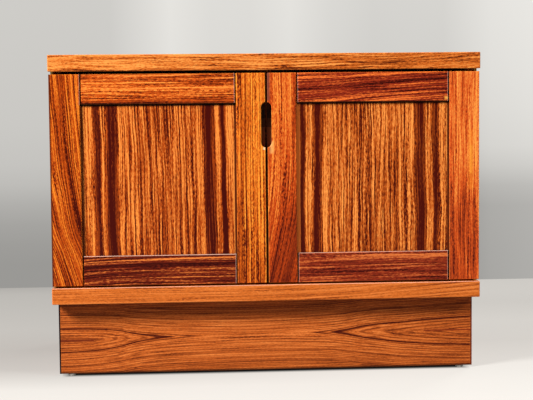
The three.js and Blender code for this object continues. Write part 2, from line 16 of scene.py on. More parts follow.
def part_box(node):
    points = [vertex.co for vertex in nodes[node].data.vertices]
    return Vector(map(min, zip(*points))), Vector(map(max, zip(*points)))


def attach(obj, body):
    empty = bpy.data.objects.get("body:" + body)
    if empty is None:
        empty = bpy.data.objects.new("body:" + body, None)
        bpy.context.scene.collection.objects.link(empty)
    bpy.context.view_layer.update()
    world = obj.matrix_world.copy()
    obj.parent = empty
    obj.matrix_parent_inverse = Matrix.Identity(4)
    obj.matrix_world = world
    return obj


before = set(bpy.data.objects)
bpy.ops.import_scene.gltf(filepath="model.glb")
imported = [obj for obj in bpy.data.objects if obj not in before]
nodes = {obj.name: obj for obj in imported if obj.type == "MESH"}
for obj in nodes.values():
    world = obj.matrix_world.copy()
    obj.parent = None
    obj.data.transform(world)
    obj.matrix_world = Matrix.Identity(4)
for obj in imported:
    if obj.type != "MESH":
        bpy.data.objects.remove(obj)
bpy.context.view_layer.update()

# %% [markdown]
# ## The camera
# A real camera is described by where its lens is, where it points and how long the lens is. All of these
# could be guessed by eye, but the cabinet's straight edges give them much better: this place and lens put
# every edge of the model within about half a pixel of the photograph. The matrix is built from the three
# directions of the camera, so that no angle convention has to be remembered.

# %% Place the camera
def put_in_scene(name, data):
    """Makes an object of a mesh, a lamp or a camera and links it to the scene."""
    obj = bpy.data.objects.new(name, data)
    bpy.context.scene.collection.objects.link(obj)
    return obj


camera_place = Vector((-0.1680, -2.7111, 0.5089))
camera_yaw, camera_pitch, camera_roll = 0.06676, 0.07602, -0.00926
lens_length, sensor_width = 93.728, 36

ahead = Vector((
    math.sin(camera_yaw) * math.cos(camera_pitch),
    math.cos(camera_yaw) * math.cos(camera_pitch),
    -math.sin(camera_pitch),
))
level_right = Vector((math.cos(camera_yaw), -math.sin(camera_yaw), 0))
level_up = level_right.cross(ahead)
right = level_right * math.cos(camera_roll) + level_up * math.sin(camera_roll)
up = level_up * math.cos(camera_roll) - level_right * math.sin(camera_roll)

camera_data = bpy.data.cameras.new("photo_camera")
camera_data.lens = lens_length
camera_data.sensor_width = sensor_width
camera = put_in_scene("photo_camera", camera_data)
camera_turn = Matrix((right, up, -ahead)).transposed()
camera.matrix_world = Matrix.Translation(camera_place) @ camera_turn.to_4x4()
bpy.context.scene.camera = camera
bpy.context.scene.view_settings.view_transform = "Standard"

# %% [markdown]
# ## Small helpers for shader nodes
# A wood material is a chain of small sums on the place of a point: how far across the grain, how far along
# it. Shader nodes can be placed by hand in the editor, but a chain of thirty is easier to read as text. The
# helpers below add one node each to the tree at work and return its output, so that a formula can be written
# from left to right. Starting a group or a material makes its tree the one at work.

# %% Helpers that add one node each
def feed(socket, value):
    """Links a socket to another output, or gives it a plain value."""
    if isinstance(value, bpy.types.NodeSocket):
        socket.id_data.links.new(value, socket)
    else:
        socket.default_value = value


def feed_all(node, values):
    """Feeds a node's inputs by name."""
    for name, value in values.items():
        feed(node.inputs[name], value)


def add(kind, values=(), **settings):
    """Adds a node with its settings to the tree at work and feeds its first inputs in order."""
    node = tree.nodes.new("ShaderNode" + kind)
    for name, value in settings.items():
        setattr(node, name, value)
    for socket, value in zip(node.inputs, values):
        feed(socket, value)
    return node


def calc(operation, *values, clamp=False):
    return add("Math", values, operation=operation, use_clamp=clamp).outputs[0]


def plus(first, second):
    return calc("ADD", first, second)


def minus(first, second):
    return calc("SUBTRACT", first, second)


def times(first, second):
    return calc("MULTIPLY", first, second)


def over(first, second):
    return calc("DIVIDE", first, second)


def split(vector):
    return add("SeparateXYZ", (vector,)).outputs


def point_at(x, y, z):
    return add("CombineXYZ", (x, y, z)).outputs[0]


def noise(vector, detail=2.0, roughness=0.5):
    node = add("TexNoise")
    feed_all(node, {"Vector": vector, "Scale": 1.0, "Detail": detail, "Roughness": roughness})
    return node.outputs[0]


# %% A helper that starts a group
value_kinds = {float: "Float", int: "Int", tuple: "Color"}


def new_group(name, inputs, outputs, tree_kind="ShaderNodeTree"):
    """Starts a node group. An input is named with its plain value or, where it has none, with its kind."""
    global tree
    tree = bpy.data.node_groups.new(name, tree_kind)
    for label, value in inputs.items():
        kind = value if isinstance(value, str) else value_kinds[type(value)]
        socket = tree.interface.new_socket(name=label, in_out="INPUT", socket_type="NodeSocket" + kind)
        if kind != value:
            socket.default_value = value
    for label, kind in outputs.items():
        tree.interface.new_socket(name=label, in_out="OUTPUT", socket_type="NodeSocket" + kind)
    return tree, tree.nodes.new("NodeGroupInput").outputs, tree.nodes.new("NodeGroupOutput").inputs


# %% [markdown]
# ## How grain wanders
# No board has perfectly straight grain: neighbouring lines lean the same way for a hand's breadth, then
# lean back. A distorted wave texture can do this, but its lines all bend alike over a whole board. Here a
# slow noise moves each point sideways before anything else is worked out, and a faster one adds the small
# ripple, so that bands, streaks and pores all bend together, as they do in a tree.

# %% The group that bends the grain
wander_group, given, out = new_group(
    "grain_wander",
    {
        "Grain": "Vector", "Wander": 0.003, "Wander Length": 0.25, "Ripple": 0.0006, "Ripple Length": 0.04,
        "Seed": 0.0,
    },
    {"Grain": "Vector"},
)
across, depth, along = split(given["Grain"])
depth = plus(depth, given["Seed"])
width_to_length = 0.35
change_by_depth = 7.3
swing = 3.0


def sideways(length, amount):
    slow_place = point_at(over(across, times(length, width_to_length)), times(depth, change_by_depth),
                          over(along, length))
    return times(minus(noise(slow_place, detail=1.0), 0.5), times(amount, swing))


moved = plus(across, sideways(given["Wander Length"], given["Wander"]))
moved = plus(moved, sideways(given["Ripple Length"], given["Ripple"]))
feed(out["Grain"], point_at(moved, depth, along))
print("grain_wander has", len(tree.nodes), "nodes")

# %% [markdown]
# ## The figure of rosewood
# Rosewood is read by its contrast: golden and orange-brown wood, dark red bands, thin ink-black lines and
# short open pores. Painting each colour with a texture of its own gives a muddle, so the group first adds
# everything up to a single tone, from 0 for the blackest line to 1 for the palest wood, and only then looks
# up the colour. Roughness and relief come from the same lines and pores, so that they agree with the colour.
# The inputs are in metres, so a board only says how wide its streaks are.

# %% Helpers for tones and colours
def colour(code):
    """Turns a colour written as six hexadecimal digits into the linear values that Blender stores."""
    parts = [int(code[i:i + 2], 16) / 255 for i in (0, 2, 4)]
    linear = [c / 12.92 if c <= 0.04045 else ((c + 0.055) / 1.055) ** 2.4 for c in parts]
    return (*linear, 1.0)


def spread(value, low, high, to_low=0.0, to_high=1.0, kind="SMOOTHSTEP"):
    """Maps a value from one span to another and holds it at the ends."""
    return add("MapRange", (value, low, high, to_low, to_high), interpolation_type=kind).outputs[0]


def blend_colours(share, first, second):
    node = add("Mix", data_type="RGBA")
    values = {"Factor": share, "A": first, "B": second}
    for socket in node.inputs:
        if socket.enabled and socket.name in values:
            feed(socket, values[socket.name])
    return next(output for output in node.outputs if output.enabled)


print("a middle grey is stored as", round(colour("808080")[0], 3))

# %% The group that draws streaks, lines and pores
rosewood_group, given, out = new_group(
    "rosewood_figure",
    {
        "Grain": "Vector", "Tone": 0.5, "Streak Width": 0.003, "Streak Length": 0.5, "Streaks": 0.5,
        "Line Width": 0.002, "Lines": 0.4, "Fleck Length": 0.005, "Flecks": 0.38, "Clouds": 0.1,
        "Ink Spacing": 0.016, "Ink": 0.4, "Pores": 0.5,
        "Dark": colour("3A0E08"), "Middle": colour("A8481A"), "Light": colour("F0994A"),
    },
    {"Color": "Color", "Roughness": "Float", "Height": "Float"},
)
across, depth, along = split(given["Grain"])
depth_to_width = 2.5


def stretched(width, length):
    """The place of a point, counted in streaks of that width and length."""
    return point_at(over(across, width), over(depth, times(width, depth_to_width)), over(along, length))


streak_width, streak_length, line_width = given["Streak Width"], given["Streak Length"], given["Line Width"]
streak_noise = noise(stretched(streak_width, streak_length))
line_noise = noise(stretched(line_width, times(streak_length, 0.3)), detail=1.5)
fleck_noise = noise(stretched(times(line_width, 0.85), given["Fleck Length"]), roughness=0.6)
slow_noise = noise(stretched(given["Ink Spacing"], times(streak_length, 1.6)), detail=1.5)
# Clouds are long patches in which the board is a little darker or lighter
cloud_noise = noise(stretched(times(streak_width, 4.0), times(streak_length, 0.9)), detail=1.0)

# A thin line runs wherever the slow noise crosses its middle value, and fades in and out along its way
ink_reach = 0.035
ink_line = spread(calc("ABSOLUTE", minus(slow_noise, 0.5)), 0.0, ink_reach, 1.0, 0.0)
ink_break = spread(fleck_noise, 0.4, 0.62, 1.0, 0.2)
ink = times(times(ink_line, ink_break), given["Ink"])

figure = 0.0
for pattern, name in (
        (streak_noise, "Streaks"), (line_noise, "Lines"), (fleck_noise, "Flecks"), (cloud_noise, "Clouds")):
    figure = plus(figure, times(minus(pattern, 0.5), given[name]))
# Dark bands are dense wood, in which streaks show less
contrast_in_dark, contrast_in_light = 1.1, 3.2
openness = spread(given["Tone"], 0.05, 0.5, contrast_in_dark, contrast_in_light)
tone = calc("MULTIPLY_ADD", figure, openness, given["Tone"])
tone = calc("SUBTRACT", tone, ink, clamp=True)

pores_across, pores_along = 900.0, 230.0
pore_place = point_at(times(across, pores_across), times(depth, pores_across), times(along, pores_along))
pores = times(spread(noise(pore_place, detail=1.0), 0.57, 0.7), given["Pores"])
pore_darkness = 0.6
satin_roughness, line_roughness, pore_roughness = 0.27, 0.12, 0.2

dark_half = blend_colours(spread(tone, 0.0, 0.5, kind="LINEAR"), given["Dark"], given["Middle"])
wood = blend_colours(spread(tone, 0.5, 1.0, kind="LINEAR"), dark_half, given["Light"])
feed(out["Color"], blend_colours(times(pores, pore_darkness), wood, given["Dark"]))
rough = calc("MULTIPLY_ADD", line_noise, line_roughness, satin_roughness)
feed(out["Roughness"], calc("MULTIPLY_ADD", pores, pore_roughness, rough))
relief = calc("MULTIPLY_ADD", line_noise, 0.6, times(streak_noise, 0.4))
feed(out["Height"], minus(relief, pores))
print("rosewood_figure has", len(tree.nodes), "nodes")

# %% [markdown]
# ## Worn and polished edges, with a painted sheen
# Where two faces of a board meet, hands and cloths rub the finish thin, so the edge is smoother than the
# faces. It is also paler, partly from that wear and partly as a painted sheen of the light on the rounded
# edge. A bevel or pointiness node would find every edge of the mesh, also those hidden in joints. The boards
# are plain bars, so the group measures how near a point is to the edges of the board's own box: it is near an
# edge when it is close to two of the three pairs of faces at once.

# %% The group that finds a board's edges
def vector_calc(operation, *values):
    return add("VectorMath", values, operation=operation).outputs[0]


box_inputs = {"Place": "Vector", "Low Corner": "Vector", "High Corner": "Vector"}


def gaps_to_faces():
    """How far inside a box a point lies, for each of the box's three pairs of faces."""
    from_low = vector_calc("SUBTRACT", given["Place"], given["Low Corner"])
    to_high = vector_calc("SUBTRACT", given["High Corner"], given["Place"])
    return split(vector_calc("MINIMUM", from_low, to_high))


edge_group, given, out = new_group("board_edges", {**box_inputs, "Width": 0.0016}, {"Edge": "Float"})
x_gap, y_gap, z_gap = gaps_to_faces()
x_and_y = calc("MAXIMUM", x_gap, y_gap)
y_and_z = calc("MAXIMUM", y_gap, z_gap)
x_and_z = calc("MAXIMUM", x_gap, z_gap)
edge_gap = calc("MINIMUM", calc("MINIMUM", x_and_y, y_and_z), x_and_z)
patches_in_a_metre = 130.0
fully_on_edge = 0.35
uneven = noise(vector_calc("MULTIPLY", given["Place"], (patches_in_a_metre,) * 3))
reach = times(given["Width"], plus(uneven, 0.5))
feed(out["Edge"], spread(over(edge_gap, reach), fully_on_edge, 1.0, 1.0, 0.0))
print("board_edges has", len(tree.nodes), "nodes")

# %% [markdown]
# ## Marks
# Some places on a board are painted with light and shade: nearly black as painted shade inside the joints
# and the pull, and pale as painted highlights on rounded edges that would catch the light. A mask painted by
# hand would do, but all these places are straight strips. A small group tells how far a point lies inside a
# box. A mark is then a box, a colour, a strength and a soft edge.

# %% The group that finds what lies inside a box
inside_group, given, out = new_group("inside_box", {**box_inputs, "Softness": 0.0006}, {"Inside": "Float"})
x_gap, y_gap, z_gap = gaps_to_faces()
least_gap = calc("MINIMUM", calc("MINIMUM", x_gap, y_gap), z_gap)
feed(out["Inside"], spread(over(least_gap, given["Softness"]), 0.0, 1.0))
print("inside_box has", len(tree.nodes), "nodes")

# %% [markdown]
# ## One board, one material
# Every board was cut from its own place in the log, and that is what makes a real cabinet look made and not
# wallpapered. So each board gets a material of its own from one recipe. The recipe is told which way the
# grain runs, the course that one line of grain takes down the board, the dark and light bands across it and
# three colours. The bands sit in a colour ramp whose positions are millimetres from the board's middle.

# %% Helpers for a material
def start_material(name):
    global tree
    material = bpy.data.materials.new(name)
    material.use_nodes = True
    tree = material.node_tree
    return material, tree.nodes["Principled BSDF"]


def object_place():
    return add("TexCoord").outputs["Object"]


def place_group(group, **values):
    """Places a group in a material. An input is named here with _ where its socket has a space."""
    node = tree.nodes.new("ShaderNodeGroup")
    node.node_tree = group
    feed_all(node, {name.replace("_", " ").title(): value for name, value in values.items()})
    return node.outputs


def add_relief(shader, height, strength, distance):
    bump = add("Bump")
    feed_all(bump, {"Strength": strength, "Distance": distance, "Height": height})
    feed(shader.inputs["Normal"], bump.outputs[0])


# %% Tones and courses along a board
def share_of_way(value, points):
    """How far a value is from the first place to the last one, from 0 to 1."""
    return spread(value, min(points) / 1000, max(points) / 1000, kind="LINEAR")


def in_shares(points):
    """The same points with each place given as its share of the way from the first to the last one."""
    start, end = min(points), max(points)
    return [((place - start) / (end - start), value) for place, value in points.items()]


def ramp(value, tones):
    """Grey values by place. tones gives a tone for each place in millimetres."""
    node = add("ValToRGB", (share_of_way(value, tones),))
    elements = node.color_ramp.elements
    while len(elements) < len(tones):
        elements.new(0.5)
    for element, (share, tone) in zip(elements, in_shares(tones)):
        element.position = share
        element.color = (tone, tone, tone, 1.0)
    return node.outputs[0]


def curve_of(value, course):
    """A smooth line. course gives a shift to the side for each place along it, both in millimetres."""
    node = add("FloatCurve", (1.0, share_of_way(value, course)))
    line = node.mapping.curves[0]
    span = 2 * (max(abs(shift) for shift in course.values()) or 1.0)
    first, *between, last = [(share, 0.5 + shift / span) for share, shift in in_shares(course)]
    line.points[0].location = first
    line.points[-1].location = last
    for point in between:
        line.points.new(*point)
    node.mapping.update()
    return times(minus(node.outputs[0], 0.5), span / 1000)


def growth_rings(moved, along, seed, spacing, darkness):
    """Thin dark rings at uneven distances, about one spacing apart."""
    patch_width, patch_length, unevenness = spacing * 2.5, 0.6, 9.0
    slow_place = point_at(over(moved, patch_width), seed, over(along, patch_length))
    phase = calc("MULTIPLY_ADD", moved, 2 * math.pi / spacing, times(noise(slow_place), unevenness))
    return times(spread(calc("SINE", phase), 0.2, 1.0), darkness)


# %% Marks and the lacquer over them
# painted_shade darkens joints, hollows and edges where shade falls; painted_highlight lightens rounded edges
# where they would catch the light
painted_shade, painted_highlight = "1C0804", "E2B8A4"
edge_polish, lacquer_shine = 0.08, 0.12
pore_relief, pore_depth = 0.15, 0.0003


def mark(low_corner, high_corner, code=painted_shade, strength=0.92, softness=0.0006):
    """A box in which the wood takes another colour."""
    return Vector(low_corner), Vector(high_corner), code, strength, softness


def finish_board(shader, node_name, place, wood, edge_colour, edge_share, marks):
    """The satin lacquer over the wood, smoother along the board's edges and paler there from wear and a
    painted sheen.
    """
    low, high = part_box(node_name)
    edge = place_group(edge_group, place=place, low_corner=low, high_corner=high)["Edge"]
    surface = blend_colours(times(edge, edge_share), wood["Color"], colour(edge_colour))
    for corner, opposite, code, strength, softness in marks:
        box = {"low_corner": corner, "high_corner": opposite, "softness": softness}
        inside = place_group(inside_group, place=place, **box)["Inside"]
        surface = blend_colours(times(inside, strength), surface, colour(code))
    feed(shader.inputs["Base Color"], surface)
    feed(shader.inputs["Roughness"], calc("MULTIPLY_ADD", edge, -edge_polish, wood["Roughness"]))
    add_relief(shader, wood["Height"], pore_relief, pore_depth)
    shader.inputs["Specular IOR Level"].default_value = lacquer_shine


# %% The recipe for a board's material
even_tone = {-100: 0.5, 100: 0.5}
grain_lean = 0.7
arch_power, arch_reach, arch_side_shift = 1.3, 0.03, 2.0


def board_material(
        node_name, axes, colours, bands=even_tone, fade=None, course=None, mirror=None, arch=None, rings=None,
        wander=0.002, wander_length=0.2, ripple=0.0005, seed=0.0, edge_share=0.3, marks=(), **figure):
    """A rosewood material for one board.

    axes: the directions along, across and into the board, as in "zxy". colours: dark, middle and light.
    bands: tones across the grain. fade: tones added along it. course: the way one line of grain takes.
    mirror: the place of a book-match seam. arch: the axis of a cathedral figure and how its rings rise.
    rings: the spacing of thin growth rings and how dark they are.
    """
    material, shader = start_material(node_name + "_wood")
    low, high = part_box(node_name)
    place = object_place()
    from_middle = dict(zip("xyz", split(vector_calc("SUBTRACT", place, (low + high) / 2))))
    along, across, depth = (from_middle[axis] for axis in axes)
    into_board = plus(depth, (high - low)["xyz".index(axes[2])] / 2)
    across = calc("MULTIPLY_ADD", into_board, grain_lean, across)
    if course:
        across = minus(across, curve_of(along, course))
    if arch:
        axis, rise = arch
        off_axis = minus(across, axis / 1000)
        bent = calc("POWER", calc("ABSOLUTE", off_axis), arch_power)
        across = minus(times(bent, arch_reach ** (1 - arch_power)), curve_of(along, rise))
        depth = calc("MULTIPLY_ADD", off_axis, arch_side_shift, depth)
    grain_place = place_group(
        wander_group, grain=point_at(across, depth, along), wander=wander, wander_length=wander_length,
        ripple=ripple, seed=seed,
    )["Grain"]
    moved = split(grain_place)[0]
    if mirror is not None:
        moved = calc("ABSOLUTE", minus(moved, mirror / 1000))
    tone = ramp(moved, bands)
    if rings:
        tone = minus(tone, growth_rings(moved, along, seed, *rings))
    if fade:
        tone = plus(tone, minus(ramp(along, fade), 0.5))
    dark, middle, light = (colour(code) for code in colours)
    wood = place_group(
        rosewood_group, grain=grain_place, tone=tone, dark=dark, middle=middle, light=light, **figure)
    finish_board(shader, node_name, place, wood, colours[2], edge_share, marks)
    return material


def dress(node_name, material):
    """Gives a CAD node its material in every slot."""
    data = nodes[node_name].data
    data.materials.clear()
    data.materials.append(material)


def dress_board(node_name, *values, **figure):
    dress(node_name, board_material(node_name, *values, **figure))


# %% [markdown]
# ## The slabs' front edges
# The slabs are veneered boards with a solid lipping glued to the front, so the edge shows long, straight
# side grain. The upper one is golden, with wavy dark streaks that get rougher towards the right end. The
# lower one is quieter and a little darker.

# %% Wood for the slab edges
def top_edge_highlight(node_name, height, depth):
    """A painted highlight along the top front edge of a board, where its rounding would catch the light from
    above.
    """
    low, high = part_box(node_name)
    start = low + Vector((-0.01, -0.001, high.z - low.z - height))
    return mark(start, (high.x, low.y + depth, high.z + 0.001), painted_highlight, 0.66, 0.0005)


dress_board(
    "top_front_lipping", "xzy", ("521806", "CE641E", "F29A48"),
    bands={-15: 0.5, -4: 0.62, 4: 0.52, 15: 0.62},
    fade={-389: 0.63, -100: 0.56, 60: 0.44, 160: 0.34, 260: 0.33, 389: 0.36},
    course={-389: 1, -100: 0, 100: 0, 389: 9},
    wander=0.004, wander_length=0.12, ripple=0.0012, seed=1.3, streak_width=0.0028, streak_length=0.2,
    lines=0.62, flecks=0.5, fleck_length=0.007, clouds=0.12, ink_spacing=0.008,
)
dress_board(
    "bottom_front_lipping", "xzy", ("6A220C", "CE6824", "E8843E"),
    bands={-15: 0.5, -4: 0.55, 4: 0.6, 15: 0.5},
    course={-389: 0, -40: 0, 60: 2, 200: 9, 389: 21},
    wander_length=0.3, ripple=0.0004, seed=2.9, streak_width=0.0026, streak_length=0.45, streaks=0.36,
    lines=0.46, flecks=0.24, ink=0.22, ink_spacing=0.008,
    marks=[top_edge_highlight("bottom_front_lipping", 0.0011, 0.0012)],
)
print("slab edges dressed")

# %% [markdown]
# ## The door frames
# The eight frame boards are solid rosewood from different parts of the log. The left hinge stile has grain
# that starts upright and then leans across the board. The left meeting stile is the palest, with straight,
# fine lines, and the right one turns dark red on its far side. The rails run from bright orange to maroon.

# %% Marks on the doors
front_skin, end_skin, back_skin = 0.001, 0.003, 0.0015


def shade_inside_door(side):
    """Painted shade on all behind a door's front skin: its joints, its inner edges and its half of the pull.
    """
    outer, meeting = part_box(f"{side}_door_hinge_stile"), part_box(f"{side}_door_meeting_stile")
    low = Vector((min(outer[0].x, meeting[0].x), outer[0].y + front_skin, outer[0].z + end_skin))
    high = Vector((max(outer[1].x, meeting[1].x), outer[1].y - back_skin, outer[1].z - end_skin))
    inward, past_middle = Vector((end_skin, 0, 0)), Vector((0.005, 0, 0))
    if side == "left":
        return mark(low + inward, high + past_middle)
    return mark(low - past_middle, high - inward)


def joint_highlight(node_name, kerf, toward_right, strength=0.5, width=0.0019):
    """A painted highlight on the rounded front corner of a board at a joint, where it would catch the light.
    """
    low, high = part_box(node_name)
    start = kerf - width if toward_right else kerf
    before_face, in_wood = 0.001, 0.0012
    return mark((start, low.y - before_face, low.z), (start + width, low.y + in_wood, high.z), painted_highlight, strength)


def lower_edge_shade(node_name, height):
    """Painted shade on the lower edge of a rail."""
    low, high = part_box(node_name)
    margin = 0.01
    return mark(low - Vector((margin,) * 3), (high.x + margin, high.y, low.z + height), painted_shade, 0.85, 0.0009)


def pull_hollow(side):
    """Painted light in the lower half of the pull's hollow, painted highlights at the slot's lower edge, and
    on the right door painted shade with a dull reflection on the rounded edge beside the gap.
    """
    low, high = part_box(f"{side}_door_meeting_stile")
    half_width, below_slot = 0.02, 0.4
    hollow_light = [
        mark((-half_width, low.y + front_skin, below_slot), (half_width, high.y - back_skin, top), code, 0.9)
        for top, code in ((0.482, "34180E"), (0.466, "60301B"), (0.45, "934B2A"))
    ]
    front, behind = low.y - 0.01, low.y + 0.01
    if side == "left":
        slot_glint = mark((-0.0068, front, 0.4085), (-0.002, behind, 0.4145), "FFE6B4", 0.7, 0.0014)
        return [*hollow_light, slot_glint]
    slot_highlight = mark((0.003, front, 0.4), (0.0155, behind, 0.427), "FFC070", 0.5, 0.0055)
    gap_edge_shade = mark((-0.003, front, 0.495), (0.0085, behind, 0.56), "6A3A30", 0.8, 0.0045)
    return [*hollow_light, slot_highlight, gap_edge_shade]


# A painted highlight at the lower right corner of the right top rail
rail_corner_highlight = mark((0.3225, -0.23, 0.4955), (0.3345, -0.205, 0.504), "FFB84C", 0.75, 0.004)
# A painted highlight on the left hinge stile's rounded edge at the top rail's joint
stile_joint_highlight = mark((-0.335, -0.217, 0.492), (-0.3325, -0.2146, 0.549), painted_highlight, 0.4, 0.0008)
# Painted shade on the left hinge stile's rounded outer edge
outer_edge_shade = mark((-0.395, -0.25, 0.16), (-0.3846, -0.18, 0.56), "521C0A", 0.88, 0.0012)
# A painted sheen where the right hinge stile's figure shines
stile_sheen_patch = mark((0.365, -0.25, 0.33), (0.38, -0.18, 0.445), "FF9428", 0.35, 0.0075)
stile_sheen_core = mark((0.368, -0.25, 0.36), (0.377, -0.18, 0.415), "FFAC38", 0.45, 0.0045)

kerf_width = 0.002
left_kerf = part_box("left_door_meeting_stile")[0].x - kerf_width
meeting_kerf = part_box("right_door_meeting_stile")[1].x + kerf_width
hinge_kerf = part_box("right_door_hinge_stile")[0].x - kerf_width
print("the kerfs of the right rails are", round(hinge_kerf - meeting_kerf, 4), "m apart")

# %% A helper for the boards of a door frame
stile_grain = {"streak_length": 0.45, "ink_spacing": 0.012}
rail_grain = {"streak_length": 0.36, "ink_spacing": 0.01}


def dress_frame(node_name, colours, marks=(), **figure):
    """Dresses a stile, whose grain stands, or a rail, whose grain lies, and adds the marks of its kind."""
    side = node_name.split("_")[0]
    marks = [shade_inside_door(side), *marks]
    if node_name.endswith("stile"):
        axes, grain = "zxy", stile_grain
        if "meeting" in node_name:
            marks += pull_hollow(side)
    else:
        axes, grain = "xzy", rail_grain
        if side == "left":
            marks.append(joint_highlight(node_name, left_kerf, True, 0.6))
        else:
            marks.append(joint_highlight(node_name, meeting_kerf, False, 0.3, 0.0013))
            marks.append(joint_highlight(node_name, hinge_kerf, True))
    dress_board(node_name, axes, colours, marks=marks, **{**grain, **figure})


# %% Wood for the stiles
dress_frame(
    "left_door_hinge_stile", ("440A02", "B8460A", "F68C28"), marks=[stile_joint_highlight, outer_edge_shade],
    bands={-90: 0.5, -65: 0.55, -55: 0.45, -42: 0.5, -36: 0.68, -33: 0.7, -29: 0.58, -22: 0.56, -14: 0.48,
           -6: 0.4, -2: 0.26, 3: 0.26, 6: 0.42, 11: 0.46, 14: 0.6, 17: 0.76, 21: 0.74, 25: 0.52, 30: 0.42,
           45: 0.4},
    fade={-191: 0.4, -60: 0.46, 60: 0.55, 191: 0.5},
    course={-191: 60, -132: 41, -93: 26, -56: 18, -21: 12, 33: 4, 87: -2, 141: -7, 191: -10},
    wander=0.003, wander_length=0.16, seed=3.1, ink=0.5, streaks=0.62, lines=0.6, flecks=0.32,
)
dress_frame(
    "left_door_meeting_stile", ("521004", "D66014", "FC9E34"),
    bands={-27: 0.42, -24: 0.5, -22: 0.34, -14: 0.4, -12: 0.68, -10: 0.15, -8: 0.42, -4: 0.6, 10: 0.62,
           27: 0.6},
    fade={-191: 0.35, -100: 0.44, 0: 0.5, 191: 0.5}, edge_share=0.12,
    wander=0.0012, wander_length=0.3, seed=4.7, ink=0.55, streaks=0.52, flecks=0.42, lines=0.68,
)
dress_frame(
    "right_door_meeting_stile", ("440A06", "C84812", "FC963A"),
    bands={-60: 0.6, -27: 0.62, -10: 0.68, 0: 0.54, 8: 0.36, 27: 0.42, 40: 0.27, 50: 0.44, 58: 0.6},
    fade={-191: 0.28, -100: 0.4, 0: 0.57, 191: 0.6},
    course={-191: -34, -120: -18, -60: -6, 0: 0, 191: 2},
    wander_length=0.25, seed=5.9, streaks=0.45, flecks=0.36, lines=0.36,
)
dress_frame(
    "right_door_hinge_stile", ("4C0C0A", "D4521A", "FE9E44"), marks=[stile_sheen_patch, stile_sheen_core],
    bands={-28: 0.42, -22: 0.46, -18: 0.49, -14: 0.62, -9: 0.64, -4: 0.54, 2: 0.56, 8: 0.6, 14: 0.56,
           18: 0.6, 22: 0.66, 28: 0.74},
    fade={-191: 0.27, -100: 0.3, -40: 0.4, 0: 0.52, 40: 0.64, 110: 0.61, 191: 0.58},
    wander_length=0.14, seed=6.2, ink=0.25, streaks=0.42, streak_length=0.2, flecks=0.26, lines=0.32,
    clouds=0.2,
)
print("four stiles dressed")

# %% Wood for the rails
# The dark band at this rail's top edge is painted shade, where the slab above shades its rounding
dress_frame(
    "left_door_top_rail", ("400A04", "C84E10", "FC943A"), marks=[lower_edge_shade("left_door_top_rail", 0.0014)],
    bands={-27: 0.12, -21: 0.22, -17: 0.4, -12: 0.52, -7: 0.52, -3.5: 0.66, 1: 0.8, 4: 0.62, 9: 0.48,
           12.6: 0.42, 16: 0.54, 20: 0.48, 24: 0.44, 27: 0.25},
    wander=0.001, wander_length=0.25, ripple=0.0003, seed=7.4, ink=0.6, lines=0.66, flecks=0.5,
)
dress_frame(
    "left_door_bottom_rail", ("340604", "78240F", "EC8036"),
    marks=[top_edge_highlight("left_door_bottom_rail", 0.0013, 0.0018)],
    bands={-27: 0.38, -20: 0.4, -16: 0.52, -12: 0.42, -6: 0.34, 0: 0.4, 4: 0.32, 7: 0.2, 12: 0.18,
           14.5: 0.3, 17: 0.72, 19.5: 0.75, 22: 0.35, 25: 0.3, 30: 0.4},
    course={-136: -5, -60: -1, 0: 0, 136: 1},
    wander=0.0012, wander_length=0.22, seed=8.8, ink=0.3, streaks=0.6, lines=0.65, flecks=0.5,
    fleck_length=0.007,
)
dress_frame(
    "right_door_top_rail", ("2C0404", "942C14", "F87A30"),
    marks=[lower_edge_shade("right_door_top_rail", 0.0024), rail_corner_highlight],
    bands={-34: 0.46, -27: 0.48, -20: 0.55, -14: 0.45, -9: 0.34, -4: 0.33, 1: 0.42, 5: 0.38, 11: 0.3,
           16: 0.42, 21: 0.6, 26: 0.7, 36: 0.7},
    course={-136: -9, -60: -5, 0: 0, 60: 4, 136: 8},
    wander=0.003, wander_length=0.12, seed=9.5, ink=0.6, streaks=0.6, lines=0.68,
)
dress_frame(
    "right_door_bottom_rail", ("3A0806", "902F16", "E07638"),
    marks=[top_edge_highlight("right_door_bottom_rail", 0.0011, 0.0016)],
    bands={-27: 0.42, -20: 0.44, -16: 0.5, -12: 0.32, -8: 0.42, -4: 0.56, -1: 0.5, 3: 0.38, 6: 0.36,
           10: 0.48, 14: 0.56, 18: 0.64, 21: 0.55, 24: 0.38, 27: 0.4},
    course={-136: -1.5, 136: 1.5}, fade={-136: 0.5, 20: 0.49, 136: 0.45},
    wander=0.0015, wander_length=0.18, seed=10.6, lines=0.55,
)
print("four rails dressed")

# %% [markdown]
# ## The book-matched panels
# Each door panel is veneered with two neighbouring leaves of the same log, opened like a book. The broad dark
# bands of one half are then the mirror image of the other's, so two rings show up as four bands. Folding the
# measure across the grain at the seam does exactly this. The fine lines aren't folded, because they drift
# from one leaf to the next, and a perfect mirror image would look printed. Shade is painted all around the
# panel, where it enters the frame, and the shaded strip at the right panel's left edge is painted lighter.

# %% A helper for the lines around a panel
def panel_margins(side, left, right, top):
    """Painted light and shade in lines around a panel: the width in millimetres, the strength and the colour
    of each.
    """
    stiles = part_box(f"{side}_door_hinge_stile"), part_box(f"{side}_door_meeting_stile")
    left_edge = min(high.x for low, high in stiles)
    right_edge = max(low.x for low, high in stiles)
    top_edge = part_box(f"{side}_door_top_rail")[0].z
    low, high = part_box(f"{side}_door_panel")
    margin = Vector((0.01,) * 3)
    low, high = low - margin, high + margin
    return [
        mark(low, (left_edge + left[0] / 1000, high.y, high.z), left[2], left[1], 0.002),
        mark((right_edge - right[0] / 1000, low.y, low.z), high, right[2], right[1], 0.0016),
        mark((low.x, low.y, top_edge - top[0] / 1000), high, top[2], top[1], 0.0012),
    ]


